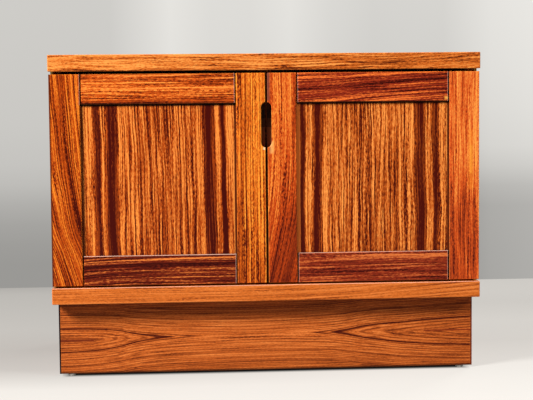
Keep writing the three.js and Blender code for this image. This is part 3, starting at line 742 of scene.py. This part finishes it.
# %% Wood for the panels
panel_grain = {"streak_length": 0.35, "streaks": 0.7, "lines": 0.72, "line_width": 0.0018, "flecks": 0.5,
               "fleck_length": 0.007, "ink_spacing": 0.015, "ink": 0.35,
               "fade": {-141: 0.46, 0: 0.52, 134: 0.53, 141: 0.48}}
dress_board(
    "left_door_panel", "zxy", ("440A04", "B4480E", "F6903C"), mirror=3.7,
    bands={0: 0.43, 40: 0.49, 60: 0.5, 73: 0.62, 77: 0.5, 80: 0.1, 83: 0.0, 92: 0.0, 95: 0.12, 98: 0.4,
           101: 0.7, 105: 0.7, 108: 0.24, 110: 0.0, 115: 0.0, 118: 0.34, 121: 0.68, 130: 0.8, 140: 0.7},
    course={-141: 2.4, 0: 0.4, 134: -2.6},
    marks=panel_margins("left", (5, 0.7, "42100A"), (4.6, 0.97, "561A08"), (4, 0.92, painted_shade)),
    wander=0.0024, wander_length=0.18, ripple=0.0013, seed=11.9, **panel_grain,
)
dress_board(
    "right_door_panel", "zxy", ("480C04", "BC5214", "FA9844"), mirror=-7.2,
    bands={0: 0.46, 60: 0.5, 80: 0.66, 85: 0.56, 88: 0.16, 91: 0.0, 99: 0.0, 102: 0.16, 105: 0.5, 108: 0.72,
           114: 0.72, 117: 0.3, 119: 0.0, 124.5: 0.0, 127.5: 0.44, 130: 0.78, 138: 0.86, 148: 0.7},
    marks=panel_margins("right", (7, 1.0, "F07A32"), (4.2, 0.96, "561A08"), (3, 0.92, painted_shade)),
    wander=0.0032, wander_length=0.16, ripple=0.0014, seed=12.7, **panel_grain,
)
print("panels dressed")

# %% [markdown]
# ## The plinth's cathedral figure
# The plinth's front is one crown-cut board. Where a saw runs nearly along the growth rings, they come out as
# nested arches, and here two sets of arches point at each other. Drawing arches one by one would be slow and
# stiff. The rings of a slightly barrel-shaped trunk give them for nothing: the distance off the board's axis
# grows like a ring, the rise towards the middle is taken away, and lines of equal value are the arches. The
# thin bead at the left corner is nearly black, and the right one is only a little darker than the board.

# %% How the plinth's bands and arches run
plinth_colours = ("460E06", "C25E22", "F08A42")
plinth_bands = {
    -40: 0.44, -19.5: 0.52, -18: 0.46, -17: 0.54, -13.6: 0.54, -12.8: 0.44, -12: 0.56, -7.8: 0.58,
    -7.1: 0.5, -6.3: 0.0, -4.5: 0.02, -3.9: 0.56, -3.2: 0.5, -2.6: 0.22, -1.9: 0.56, 5: 0.6, 6.2: 0.34,
    7.5: 0.6, 10.6: 0.6, 11.8: 0.34, 13: 0.6, 19: 0.6, 20.5: 0.32, 22: 0.6, 27: 0.56, 29.5: 0.22, 33: 0.54,
    42: 0.56, 45: 0.36, 48: 0.54, 57: 0.32, 75: 0.5}
plinth_rise = {
    -389: 25, -324: 23.5, -279: 18.9, -243: 11.5, -215: 7.7, -188: 5.4, -130: 2.4, -34: 0, 77: 2.7,
    121: 5.4, 190: 15.5, 269: 23.6, 328: 28.3, 389: 32}
plinth_axis = {
    -389: -5, -324: -4.2, -279: -2.9, -188: -1, -51: -0.4, 77: 1.2, 190: 1, 269: -0.9, 389: -0.5}
print("the plinth's arches rise by", max(plinth_rise.values()), "mm")

# %% Wood for the plinth
plinth_low, plinth_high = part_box("plinth_front_board")
# Painted shade along the plinth's foot, just above the floor
plinth_foot_shade = mark(
    plinth_low - Vector((0.01, 0.01, 0.004)), (plinth_high.x + 0.01, plinth_high.y, plinth_low.z + 0.005),
    softness=0.005)
front, behind = plinth_low.y - 0.01, plinth_low.y + 0.01
left_heart = mark((-0.4, front, 0.0605), (-0.315, behind, 0.0685), "64200F", 0.92, 0.004)
right_heart = mark((0.29, front, 0.0683), (0.4, behind, 0.0724), "6E1E0E", 0.9, 0.002)
dress_board(
    "plinth_front_board", "xzy", plinth_colours, arch=(0, plinth_rise), bands=plinth_bands,
    rings=(0.005, 0.26), course=plinth_axis,
    fade={-380: 0.44, -300: 0.51, 0: 0.56, 260: 0.49, 380: 0.38}, edge_share=0.15,
    wander=0.0008, wander_length=0.3, ripple=0.0003, seed=13.4, streak_width=0.0026, streaks=0.22,
    line_width=0.0018, lines=0.33, flecks=0.22, clouds=0.0, ink=0.18, ink_spacing=0.007,
    marks=[plinth_foot_shade, left_heart, right_heart],
)
for side, seed in (("left", 18.1), ("right", 19.1)):
    dress_board(
        f"plinth_{side}_board", "yzx", plinth_colours, arch=(6, {-200: 30, -60: 6, 40: 0, 200: 16}),
        bands=plinth_bands, rings=(0.0065, 0.22), wander=0.001, wander_length=0.3, seed=seed,
        streak_width=0.0024, streaks=0.25, line_width=0.0016, lines=0.3, flecks=0.28, ink=0.3,
        ink_spacing=0.009,
    )
dress_board(
    "plinth_rear_board", "xzy", plinth_colours, bands={-70: 0.4, 0: 0.55, 70: 0.45},
    wander=0.004, wander_length=0.3, seed=16.8, lines=0.35, ink=0.3, ink_spacing=0.012,
)
bead_colours = {"left": ("120504", "240B07", "3A140B"), "right": ("4A160C", "782A16", "94401F")}
for side, colours in bead_colours.items():
    dress_board(
        f"plinth_{side}_corner_bead", "zxy", colours, edge_share=0.2, seed=17.3, streak_width=0.0015,
        streak_length=0.2, streaks=0.3, lines=0.3, ink=0.2,
    )
print("plinth dressed")

# %% [markdown]
# ## Tops, sides and linings
# The large faces are veneer on a stable core. The slabs carry leaves laid side by side with the grain along
# the cabinet, the sides are book-matched like the doors, and the lippings are solid strips whose grain
# follows the edge that they cover. The inside is a plainer veneer of the same wood.

# %% Wood for the tops and the sides
veneer = {"streak_length": 0.6, "streaks": 0.6, "lines": 0.45, "ink_spacing": 0.014, "ripple": 0.0006}
top_colours = ("561A0C", "BC5A22", "F09A4C")
top_bands = {-30: 0.5, -14: 0.6, -6: 0.3, 0: 0.62, 14: 0.5, 30: 0.58, 46: 0.3, 52: 0.55, 80: 0.6, 96: 0.25,
             104: 0.55, 140: 0.6, 170: 0.4, 190: 0.3, 200: 0.6, 230: 0.5}
for slab, seed in (("top", 18.2), ("bottom", 19.6)):
    dress_board(
        slab + "_panel", "xyz", top_colours, arch=(60, {-389: 24, -150: 6, 60: 0, 389: 12}),
        bands=top_bands, rings=(0.012, 0.15), wander=0.004, wander_length=0.35, seed=seed, ink=0.35,
        edge_share=0.2, **veneer,
    )
    for side, seed_step in (("left", 4), ("right", 5)):
        dress_board(
            f"{slab}_{side}_lipping", "yzx", ("6A2A10", "CC6E2C", "F0A055"),
            bands={-15: 0.5, 0: 0.6, 15: 0.5}, seed=seed + seed_step, ink=0.35, **rail_grain,
        )
side_bands = {0: 0.5, 30: 0.55, 40: 0.42, 48: 0.32, 56: 0.52, 90: 0.58, 100: 0.3, 106: 0.34, 112: 0.22,
              118: 0.6, 150: 0.5, 166: 0.36, 182: 0.54, 215: 0.48}
for side, seed in (("left", 20.3), ("right", 21.7)):
    dress_board(
        side + "_side_panel", "zyx", ("4A0E06", "B24E18", "EE8C42"), mirror=-6, bands=side_bands,
        wander=0.006, wander_length=0.3, seed=seed, ink=0.3, **veneer,
    )
    dress_board(
        side + "_side_lipping", "zxy", top_colours, seed=seed + 0.4, ink=0.3, lines=0.45, **stile_grain,
    )
print("tops and sides dressed")

# %% Wood for the inside
lining_colours = ("5C2A14", "A8602E", "CC8A50")
lining = {"streak_width": 0.004, "streaks": 0.35, "lines": 0.3, "ink": 0.15, "ink_spacing": 0.02,
          "pores": 0.3, "edge_share": 0.15}
dress_board("partition_lipping", "zxy", top_colours, seed=23.1, ink=0.3, **stile_grain)
dress_board("back_panel", "zxy", lining_colours, wander=0.006, wander_length=0.3, seed=24.9, **lining)
inside_seeds = {f"record_divider_{number}": 25 + number * 1.7 for number in range(1, 7)}
for board, seed in {**inside_seeds, "centre_partition": 22.5}.items():
    dress_board(board, "zyx", lining_colours, wander=0.004, seed=seed, **lining)
print("linings dressed")

# %% [markdown]
# ## Softwood blocks under the plinth
# The corner blocks and the cross rail are bare, planed pine. Pine is drawn by the same group as rosewood: it
# only has other colours, wider streaks and no ink lines.

# %% Wood for the blocks
pine = {"streak_width": 0.005, "streak_length": 0.4, "streaks": 0.4, "lines": 0.2, "ink": 0.0, "pores": 0.1,
        "edge_share": 0.2}
pine_colours = ("A8743C", "D8AC70", "EACB98")
block_seeds = {"front_left": 44.61, "front_right": 44.98, "rear_left": 44.24, "rear_right": 44.61}
for corner, seed in block_seeds.items():
    dress_board("corner_block_" + corner, "zxy", pine_colours, seed=seed, **pine)
dress_board("plinth_cross_rail", "yzx", pine_colours, wander=0.005, seed=38.2, **pine)
print("boards dressed:", sum(material.name.endswith("_wood") for material in bpy.data.materials))

# %% [markdown]
# ## Metal, plastic and felt
# Small fittings are found by touch and seldom looked at, but a flat colour gives them away as soon as a door
# opens. Brass leaves show the fine lines of the belt that ground them, zinc plate is cloudy, nylon and the
# catch's plastic have the faint grain of their moulds, and felt is a mat of fibres.

# %% The group that gives fittings their surface
def scaled(vector, factor):
    node = add("VectorMath", (vector,), operation="SCALE")
    feed(node.inputs["Scale"], factor)
    return node.outputs[0]


surface_group, given, out = new_group(
    "fitting_surface",
    {
        "Place": "Vector", "Grain Size": "Vector", "Cloud Size": 0.01, "Base": colour("808080"),
        "Cloud": colour("606060"), "Cloud Share": 0.4, "Low Roughness": 0.25, "High Roughness": 0.45,
    },
    {"Color": "Color", "Roughness": "Float", "Height": "Float"},
)
fine = noise(vector_calc("DIVIDE", given["Place"], given["Grain Size"]))
cloud_place = scaled(given["Place"], over(1.0, given["Cloud Size"]))
clouds = spread(noise(cloud_place, detail=3.0), 0.35, 0.65)
feed(out["Color"], blend_colours(times(clouds, given["Cloud Share"]), given["Base"], given["Cloud"]))
mixed = calc("MULTIPLY_ADD", fine, 0.6, times(clouds, 0.4))
feed(out["Roughness"], spread(mixed, 0.2, 0.8, given["Low Roughness"], given["High Roughness"]))
feed(out["Height"], fine)
print("fitting_surface has", len(tree.nodes), "nodes")

# %% The recipe for a fitting's material
fitting_relief = 0.3


def fitting_material(name, base, cloud, rough, relief, metallic=0.0, **surface):
    """A material for fittings. rough is its lowest and highest roughness, and relief a depth in metres."""
    material, shader = start_material(name)
    made = place_group(
        surface_group, place=object_place(), base=colour(base), cloud=colour(cloud), low_roughness=rough[0],
        high_roughness=rough[1], **surface)
    feed(shader.inputs["Base Color"], made["Color"])
    feed(shader.inputs["Roughness"], made["Roughness"])
    shader.inputs["Metallic"].default_value = metallic
    add_relief(shader, made["Height"], fitting_relief, relief)
    return material


# %% Materials for the fittings
brass = fitting_material(
    "ground_brass", "D9B063", "A87F3E", (0.22, 0.42), 0.00005, metallic=1.0,
    grain_size=(0.004, 0.0002, 0.0002), cloud_size=0.008, cloud_share=0.5)
steel = fitting_material(
    "zinc_plate", "C6C9CC", "9A9FA6", (0.25, 0.45), 0.00004, metallic=1.0,
    grain_size=(0.0006,) * 3, cloud_size=0.006, cloud_share=0.6)
nylon = fitting_material(
    "moulded_nylon", "EDEAE2", "D8D3C6", (0.4, 0.55), 0.00005,
    grain_size=(0.0004,) * 3, cloud_size=0.004, cloud_share=0.5)
plastic = fitting_material(
    "catch_plastic", "4A2E1E", "38220F", (0.4, 0.6), 0.00008,
    grain_size=(0.0005,) * 3, cloud_size=0.01, cloud_share=0.4)
felt = fitting_material(
    "pressed_felt", "4B4036", "2C241D", (0.9, 1.0), 0.0004,
    grain_size=(0.0003, 0.0003, 0.0012), cloud_size=0.0015, cloud_share=0.8)
felt.node_tree.nodes["Principled BSDF"].inputs["Sheen Weight"].default_value = 0.3

# %% Dress the fittings
name_parts = {"glide_": nylon, "_catch": plastic, "_leaf_": brass, "_strike_plate": steel, "_bumper": felt}
for name in nodes:
    for part, material in name_parts.items():
        if part in name:
            dress(name, material)
            print(name, "is made of", material.name)

# %% [markdown]
# ## Screws
# The CAD model has no screws, because each would be a piece of its own. Real ones hold the hinge leaves, the
# catches, the back panel and the blocks under the plinth. A screw could be modelled once and copied by hand.
# Here one tree of geometry nodes makes all of them: it turns a head, cuts the cross recess, adds the shank
# and sets one on every point of a small mesh. Each point carries an arrow, its aim, which says where the
# head faces. The turn of the cross is random but seeded, as nobody drives screws in line.

# %% A helper for geometry nodes
def build(kind, values, **settings):
    """Adds a node, feeds its inputs by name and returns its first output in use."""
    node = tree.nodes.new(kind)
    for name, value in settings.items():
        setattr(node, name, value)
    for name, value in values.items():
        socket = next(s for s in node.inputs if s.enabled and s.name == name)
        for source in value if isinstance(value, list) else [value]:
            feed(socket, source)
    return next(s for s in node.outputs if s.enabled)


# %% The head of a screw and its recess
screw_tree, given, out = new_group(
    "screws",
    {
        "Points": "Geometry", "Foot Radius": 0.0031, "Top Radius": 0.0015, "Head Height": 0.0006,
        "Roundness": 2.2, "Recess Width": 0.0007, "Recess Depth": 0.0005, "Shank Radius": 0.0015,
        "Shank Length": 0.012, "Seed": 7, "Material": "Material",
    },
    {"Screws": "Geometry"},
    "GeometryNodeTree",
)
# The head starts as a drum of unit size. Each height on it then gets a radius of its own
drum_size = {"Vertices": 24, "Side Segments": 4, "Radius": 1.0, "Depth": 1.0}
drum = build("GeometryNodeMeshCylinder", drum_size)
x, y, z = split(build("GeometryNodeInputPosition", {}))
rise = plus(z, 0.5)
narrowing = calc("POWER", rise, given["Roundness"])
taper = minus(given["Top Radius"], given["Foot Radius"])
radius = calc("MULTIPLY_ADD", narrowing, taper, given["Foot Radius"])
turned = point_at(times(x, radius), times(y, radius), times(rise, given["Head Height"]))
head = build("GeometryNodeSetPosition", {"Geometry": drum, "Position": turned})
slot_share = 1.9
slot_length = times(given["Top Radius"], slot_share)
slot_width = given["Recess Width"]
slot_depth = times(given["Recess Depth"], 2.0)
slots = []
for size in ((slot_length, slot_width, slot_depth), (slot_width, slot_length, slot_depth)):
    bar = build("GeometryNodeMeshCube", {"Size": point_at(*size)})
    lifted = point_at(0.0, 0.0, given["Head Height"])
    slots.append(build("GeometryNodeTransform", {"Geometry": bar, "Translation": lifted}))
head = build("GeometryNodeMeshBoolean", {"Mesh 1": head, "Mesh 2": slots}, operation="DIFFERENCE")
print("the head takes", len(tree.nodes), "nodes")

# %% The shank, and a screw on every point
shank_size = {"Vertices": 12, "Radius": given["Shank Radius"], "Depth": given["Shank Length"]}
sunk = point_at(0.0, 0.0, times(given["Shank Length"], -0.5))
shank = build("GeometryNodeMeshCylinder", shank_size)
shank = build("GeometryNodeTransform", {"Geometry": shank, "Translation": sunk})
screw = build("GeometryNodeJoinGeometry", {"Geometry": [head, shank]})
aim = build("GeometryNodeInputNamedAttribute", {"Name": "aim"}, data_type="FLOAT_VECTOR")
facing = build("FunctionNodeAlignRotationToVector", {"Vector": aim}, axis="Z")
quarter_turn = 1.57
turn_range = {"Min": 0.0, "Max": quarter_turn, "Seed": given["Seed"]}
turn = build("FunctionNodeRandomValue", turn_range, data_type="FLOAT")
spin = build("FunctionNodeAxisAngleToRotation", {"Axis": (0.0, 0.0, 1.0), "Angle": turn})
facing = build("FunctionNodeRotateRotation", {"Rotation": facing, "Rotate By": spin}, rotation_space="LOCAL")
on_points = {"Points": given["Points"], "Instance": screw, "Rotation": facing}
placed = build("GeometryNodeInstanceOnPoints", on_points)
solid = build("GeometryNodeRealizeInstances", {"Geometry": placed})
finished = build("GeometryNodeSetMaterial", {"Geometry": solid, "Material": given["Material"]})
feed(out["Screws"], finished)
print("the screw tree has", len(tree.nodes), "nodes")

# %% [markdown]
# ## Where the screws go
# The places come from the boxes of the pieces that they hold, so nothing is measured twice. On the thin hinge
# leaves and strike plates only the low, raised heads have room, while the catches take round ones.

# %% Helpers that note where a screw goes
sinking = 0.00002
places = {}


def drive(body, kind, aim, *points):
    """Notes points for screws of one kind, sunk by a hair so that no faces lie in the same plane."""
    aim = Vector(aim)
    places.setdefault((body, kind), []).extend((Vector(point) - aim * sinking, aim) for point in points)


def ends(low, high, inset):
    return low + inset, high - inset


def steps(low, high, inset, count):
    start, end = ends(low, high, inset)
    return [start + (end - start) * step / (count - 1) for step in range(count)]


# %% Screws of the hinges, the catches and the corner blocks
leaf_thickness = 0.0025
leaf_insets = (0.021, 0.037)
catch_inset, catch_from_back = 0.007, 0.0065
plate_inset = 0.005
block_inset_on_side, block_inset_on_board = 0.03, 0.045

for side, outward in (("left", -1), ("right", 1)):
    door = side + "_door"
    leaves = (("carcass", "hinge_slab_leaf_bottom", 1), ("carcass", "hinge_slab_leaf_top", -1),
              (door, "door_hinge_leaf_top", 1), (door, "door_hinge_leaf_bottom", -1))
    for body, leaf, upward in leaves:
        low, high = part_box(f"{side}_{leaf}")
        outer_end = high.x if outward > 0 else low.x
        face = low.z + leaf_thickness if upward > 0 else high.z - leaf_thickness
        middle_y = (low.y + high.y) / 2
        drive(body, "raised", (0, 0, upward),
              *[(outer_end - outward * inset, middle_y, face) for inset in leaf_insets])
    low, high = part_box(side + "_catch")
    drive("carcass", "round", (0, 0, -1),
          *[(x, high.y - catch_from_back, low.z) for x in ends(low.x, high.x, catch_inset)])
    low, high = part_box(door + "_strike_plate")
    middle_z = (low.z + high.z) / 2
    drive(door, "small", (0, 1, 0), *[(x, high.y, middle_z) for x in ends(low.x, high.x, plate_inset)])
    for depth_name, inward in (("front", 1), ("rear", -1)):
        low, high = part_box(f"corner_block_{depth_name}_{side}")
        middle = (low + high) / 2
        x = low.x if outward > 0 else high.x
        y = high.y if inward > 0 else low.y
        drive("carcass", "broad", (-outward, 0, 0),
              *[(x, middle.y, z) for z in ends(low.z, high.z, block_inset_on_side)])
        drive("carcass", "broad", (0, inward, 0),
              *[(middle.x, y, z) for z in ends(low.z, high.z, block_inset_on_board)])
print("screws so far:", sum(len(points) for points in places.values()))

# %% Screws of the back panel
rebate_middle = 0.005
back_inset_upright, back_inset_level, back_inset_middle = 0.035, 0.06, 0.08
low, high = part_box("back_panel")
back_points = [(x, z) for x in ends(low.x, high.x, rebate_middle)
               for z in steps(low.z, high.z, back_inset_upright, 4)]
back_points += [(x, z) for z in ends(low.z, high.z, rebate_middle)
                for x in steps(low.x, high.x, back_inset_level, 6)]
back_points += [(0, z) for z in steps(low.z, high.z, back_inset_middle, 3)]
drive("carcass", "broad", (0, 1, 0), *[(x, high.y, z) for x, z in back_points])
print("screws:", {key: len(points) for key, points in places.items()})

# %% [markdown]
# ## From points to screws
# A modifier could keep the screws live, but those of a door have to swing with it, and the export drops
# instances. So the tree is set on the points of one kind at a time, and its result is copied as a plain mesh.
# All the screws of one body are then gathered in one mesh that rides on that body.

# %% The metal and the sizes of each kind of screw
screw_steel = fitting_material(
    "screw_steel", "C9BE9C", "9C9178", (0.25, 0.4), 0.00003, metallic=1.0,
    grain_size=(0.0004,) * 3, cloud_size=0.003, cloud_share=0.6)
screw_kinds = {
    "raised": {},
    "small": {"Foot Radius": 0.0022, "Top Radius": 0.0012, "Head Height": 0.0005, "Recess Depth": 0.0004,
              "Recess Width": 0.0006, "Shank Radius": 0.0011},
    "round": {"Foot Radius": 0.0027, "Top Radius": 0.0014, "Head Height": 0.0015, "Roundness": 3.0,
              "Recess Depth": 0.001, "Shank Length": 0.03},
    "broad": {"Foot Radius": 0.0032, "Top Radius": 0.0017, "Head Height": 0.0009, "Recess Width": 0.0008,
              "Recess Depth": 0.0007},
}
print("kinds of screw:", list(screw_kinds))

# %% Make the screws, one mesh for each body
sockets = {item.name: item.identifier for item in screw_tree.interface.items_tree if item.in_out == "INPUT"}
made = {}
for (body, kind), points in places.items():
    points_mesh = bpy.data.meshes.new("screw_points")
    points_mesh.from_pydata([point for point, aim in points], [], [])
    arrows = points_mesh.attributes.new("aim", "FLOAT_VECTOR", "POINT")
    arrows.data.foreach_set("vector", [number for point, aim in points for number in aim])
    carrier = put_in_scene("screw_points", points_mesh)
    modifier = carrier.modifiers.new("screws", "NODES")
    modifier.node_group = screw_tree
    for name, value in {**screw_kinds[kind], "Material": screw_steel}.items():
        modifier[sockets[name]] = value
    evaluated = carrier.evaluated_get(bpy.context.evaluated_depsgraph_get())
    part = bpy.data.meshes.new_from_object(evaluated)
    made.setdefault(body, bmesh.new()).from_mesh(part)
    bpy.data.objects.remove(carrier)
    bpy.data.meshes.remove(part)
for body, shapes in made.items():
    screws_mesh = bpy.data.meshes.new(body + "_screws")
    shapes.to_mesh(screws_mesh)
    shapes.free()
    screws_mesh.materials.append(screw_steel)
    screws = put_in_scene(body + "_screws", screws_mesh)
    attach(screws, body)
    print(screws.name, "has", len(screws_mesh.polygons), "faces")

# %% [markdown]
# ## Light
# The shadow of the lower slab on the plinth tells where the lamps stood. Its left end is cut off by light
# from about sixty degrees to the left of the doors and well above the cabinet. A softbox nearly two metres
# wide and more than six metres away gives the same edge to that shadow. The right end has a fainter cut of
# the same kind, so a weaker lamp stands on the other side. One overhead and a dim room fill the rest, as a
# strong fill would wash out the kerfs and the finger pull, which are meant to stay dark. The last lamp stands
# behind the cabinet and only lights its back.

# %% Softboxes on both sides, weak ones overhead and behind, and a dim room
def softbox(name, place, aim, size, power):
    """A round lamp, with its size in metres and its power in watts."""
    data = bpy.data.lights.new(name, "AREA")
    data.shape = "DISK"
    data.size = size
    data.energy = power
    lamp = put_in_scene(name, data)
    lamp.location = place
    lamp.rotation_euler = (Vector(aim) - Vector(place)).to_track_quat("-Z", "Y").to_euler()
    print(name, "stands", round(Vector(place).length, 1), "m away")


middle_of_doors = (0, -0.2, 0.3)
softbox("key_softbox", (-4.45, -2.85, 3.75), middle_of_doors, 1.9, 735)
softbox("second_softbox", (4.45, -2.85, 3.9), middle_of_doors, 1.4, 155)
softbox("top_softbox", (0.3, 0.2, 2.8), (0, 0.1, 0.3), 1.8, 8)
softbox("back_softbox", (3.0, 4.2, 2.6), (0, 0.2, 0.3), 1.8, 160)
world = bpy.data.worlds.new("dim_room")
world.use_nodes = True
bpy.context.scene.world = world
feed_all(world.node_tree.nodes["Background"], {"Color": colour("E9E7E2"), "Strength": 0.037})

# %% [markdown]
# ## Floor and backdrop
# The studio floor is pale and runs up to a pale wall. Both are lit by lamps of their own that don't reach
# the cabinet, which is why the floor shows hardly any shadow. Copying those lamps would also light the
# cabinet, so what the camera sees of the floor is mostly a plain glow with a soft gradient, and only part of
# it takes light and shadow. The wall is a glow as well, seen from the front only, so that the back can be
# viewed.

# %% Helpers for the floor and the wall
def plane(name, corners, material):
    mesh = bpy.data.meshes.new(name)
    mesh.from_pydata(corners, [], [tuple(range(len(corners)))])
    mesh.materials.append(material)
    obj = put_in_scene(name, mesh)
    print(name, "made")


def greys(stops):
    """Turns display greys from 0 to 255 into the linear tones of a ramp."""
    return {place: colour(f"{tone:02X}" * 3)[0] for place, tone in stops.items()}


def from_left_to_right(sideways, left, right, value, left_stops, right_stops):
    """A tone that follows one row of greys at the left and another at the right."""
    left_tone = ramp(value, greys(left_stops))
    right_tone = ramp(value, greys(right_stops))
    share = spread(sideways, left, right)
    return plus(left_tone, times(share, minus(right_tone, left_tone)))


def glow_of(look):
    return add("Emission", (look, 1.0)).outputs[0]


# %% The wall
wall_material, shader = start_material("studio_wall")
tree.nodes.remove(shader)
x, y, z = split(object_place())
tone = from_left_to_right(
    x, -0.45, 0.65, z,
    {-20: 154, 61: 154, 115: 158, 168: 165, 221: 176, 275: 190, 328: 197, 434: 202, 749: 206},
    {-20: 173, 92: 175, 202: 178, 257: 189, 311: 207, 365: 218, 474: 225, 581: 229, 749: 233})
folds = ramp(x, {
    -600: 0.5, -330: 0.5, -277: 0.55, -171: 0.64, -66: 0.56, 41: 0.53, 147: 0.55, 250: 0.45, 370: 0.38,
    560: 0.36, 690: 0.47, 800: 0.5})
tone = plus(tone, minus(folds, 0.5))
wall_tint = (1.0, 0.98, 0.935)
glow = glow_of(scaled(wall_tint, tone))
light_path = add("LightPath").outputs
seen = calc("MAXIMUM", light_path["Is Camera Ray"], light_path["Is Glossy Ray"])
from_behind = add("NewGeometry").outputs["Backfacing"]
seen = times(seen, minus(1.0, from_behind))
clear = add("BsdfTransparent").outputs[0]
feed(tree.nodes["Material Output"].inputs["Surface"], add("MixShader", (seen, clear, glow)).outputs[0])
room, wall_line, wall_foot, wall_top = 8, 1.0, -0.01, 5
wall_corners = [(-room, wall_line, wall_foot), (room, wall_line, wall_foot), (room, wall_line, wall_top),
                (-room, wall_line, wall_top)]
plane("studio_wall", wall_corners, wall_material)

# %% The floor
floor_material, shader = start_material("studio_floor")
x, y, z = split(object_place())
tone = from_left_to_right(
    x, -0.45, 0.45, y,
    {-500: 238, -390: 235, -310: 233, -130: 200, 80: 187, 320: 192, 610: 188, 870: 182, 1000: 172},
    {-500: 240, -310: 236, -130: 230, 80: 220, 320: 221, 610: 212, 870: 204, 1000: 200})
# A contact shadow is painted into the floor: its tone is nearly black under the plinth, where no light
# reaches
foot_low, foot_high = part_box("plinth_front_board")[0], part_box("plinth_rear_board")[1]
foot_inset = 0.004
beside_foot = minus(calc("ABSOLUTE", x), foot_high.x - foot_inset)
before_foot = minus(foot_low.y + foot_inset, y)
behind_foot = minus(y, foot_high.y - foot_inset)
from_foot = calc("MAXIMUM", beside_foot, calc("MAXIMUM", before_foot, behind_foot))
tone = times(tone, spread(from_foot, -0.006, 0.02, 0.01, 1.0))
floor_tint, bounce_tint, bounce_grey = (1.0, 0.96, 0.9), (1.0, 0.97, 0.92), 0.24
floor_look = scaled(floor_tint, tone)
feed(shader.inputs["Base Color"], scaled(bounce_tint, bounce_grey))
shader.inputs["Roughness"].default_value = 0.6
lit = add("BsdfDiffuse", (floor_look,)).outputs[0]
lit_share = 0.2
part_lit = add("MixShader", (lit_share, glow_of(floor_look), lit)).outputs[0]
to_camera = add("LightPath").outputs["Is Camera Ray"]
floor_mix = add("MixShader", (to_camera, shader.outputs[0], part_lit)).outputs[0]
feed(tree.nodes["Material Output"].inputs["Surface"], floor_mix)
floor_corners = [(-room, -room, 0), (room, -room, 0), (room, room, 0), (-room, room, 0)]
plane("studio_floor", floor_corners, floor_material)
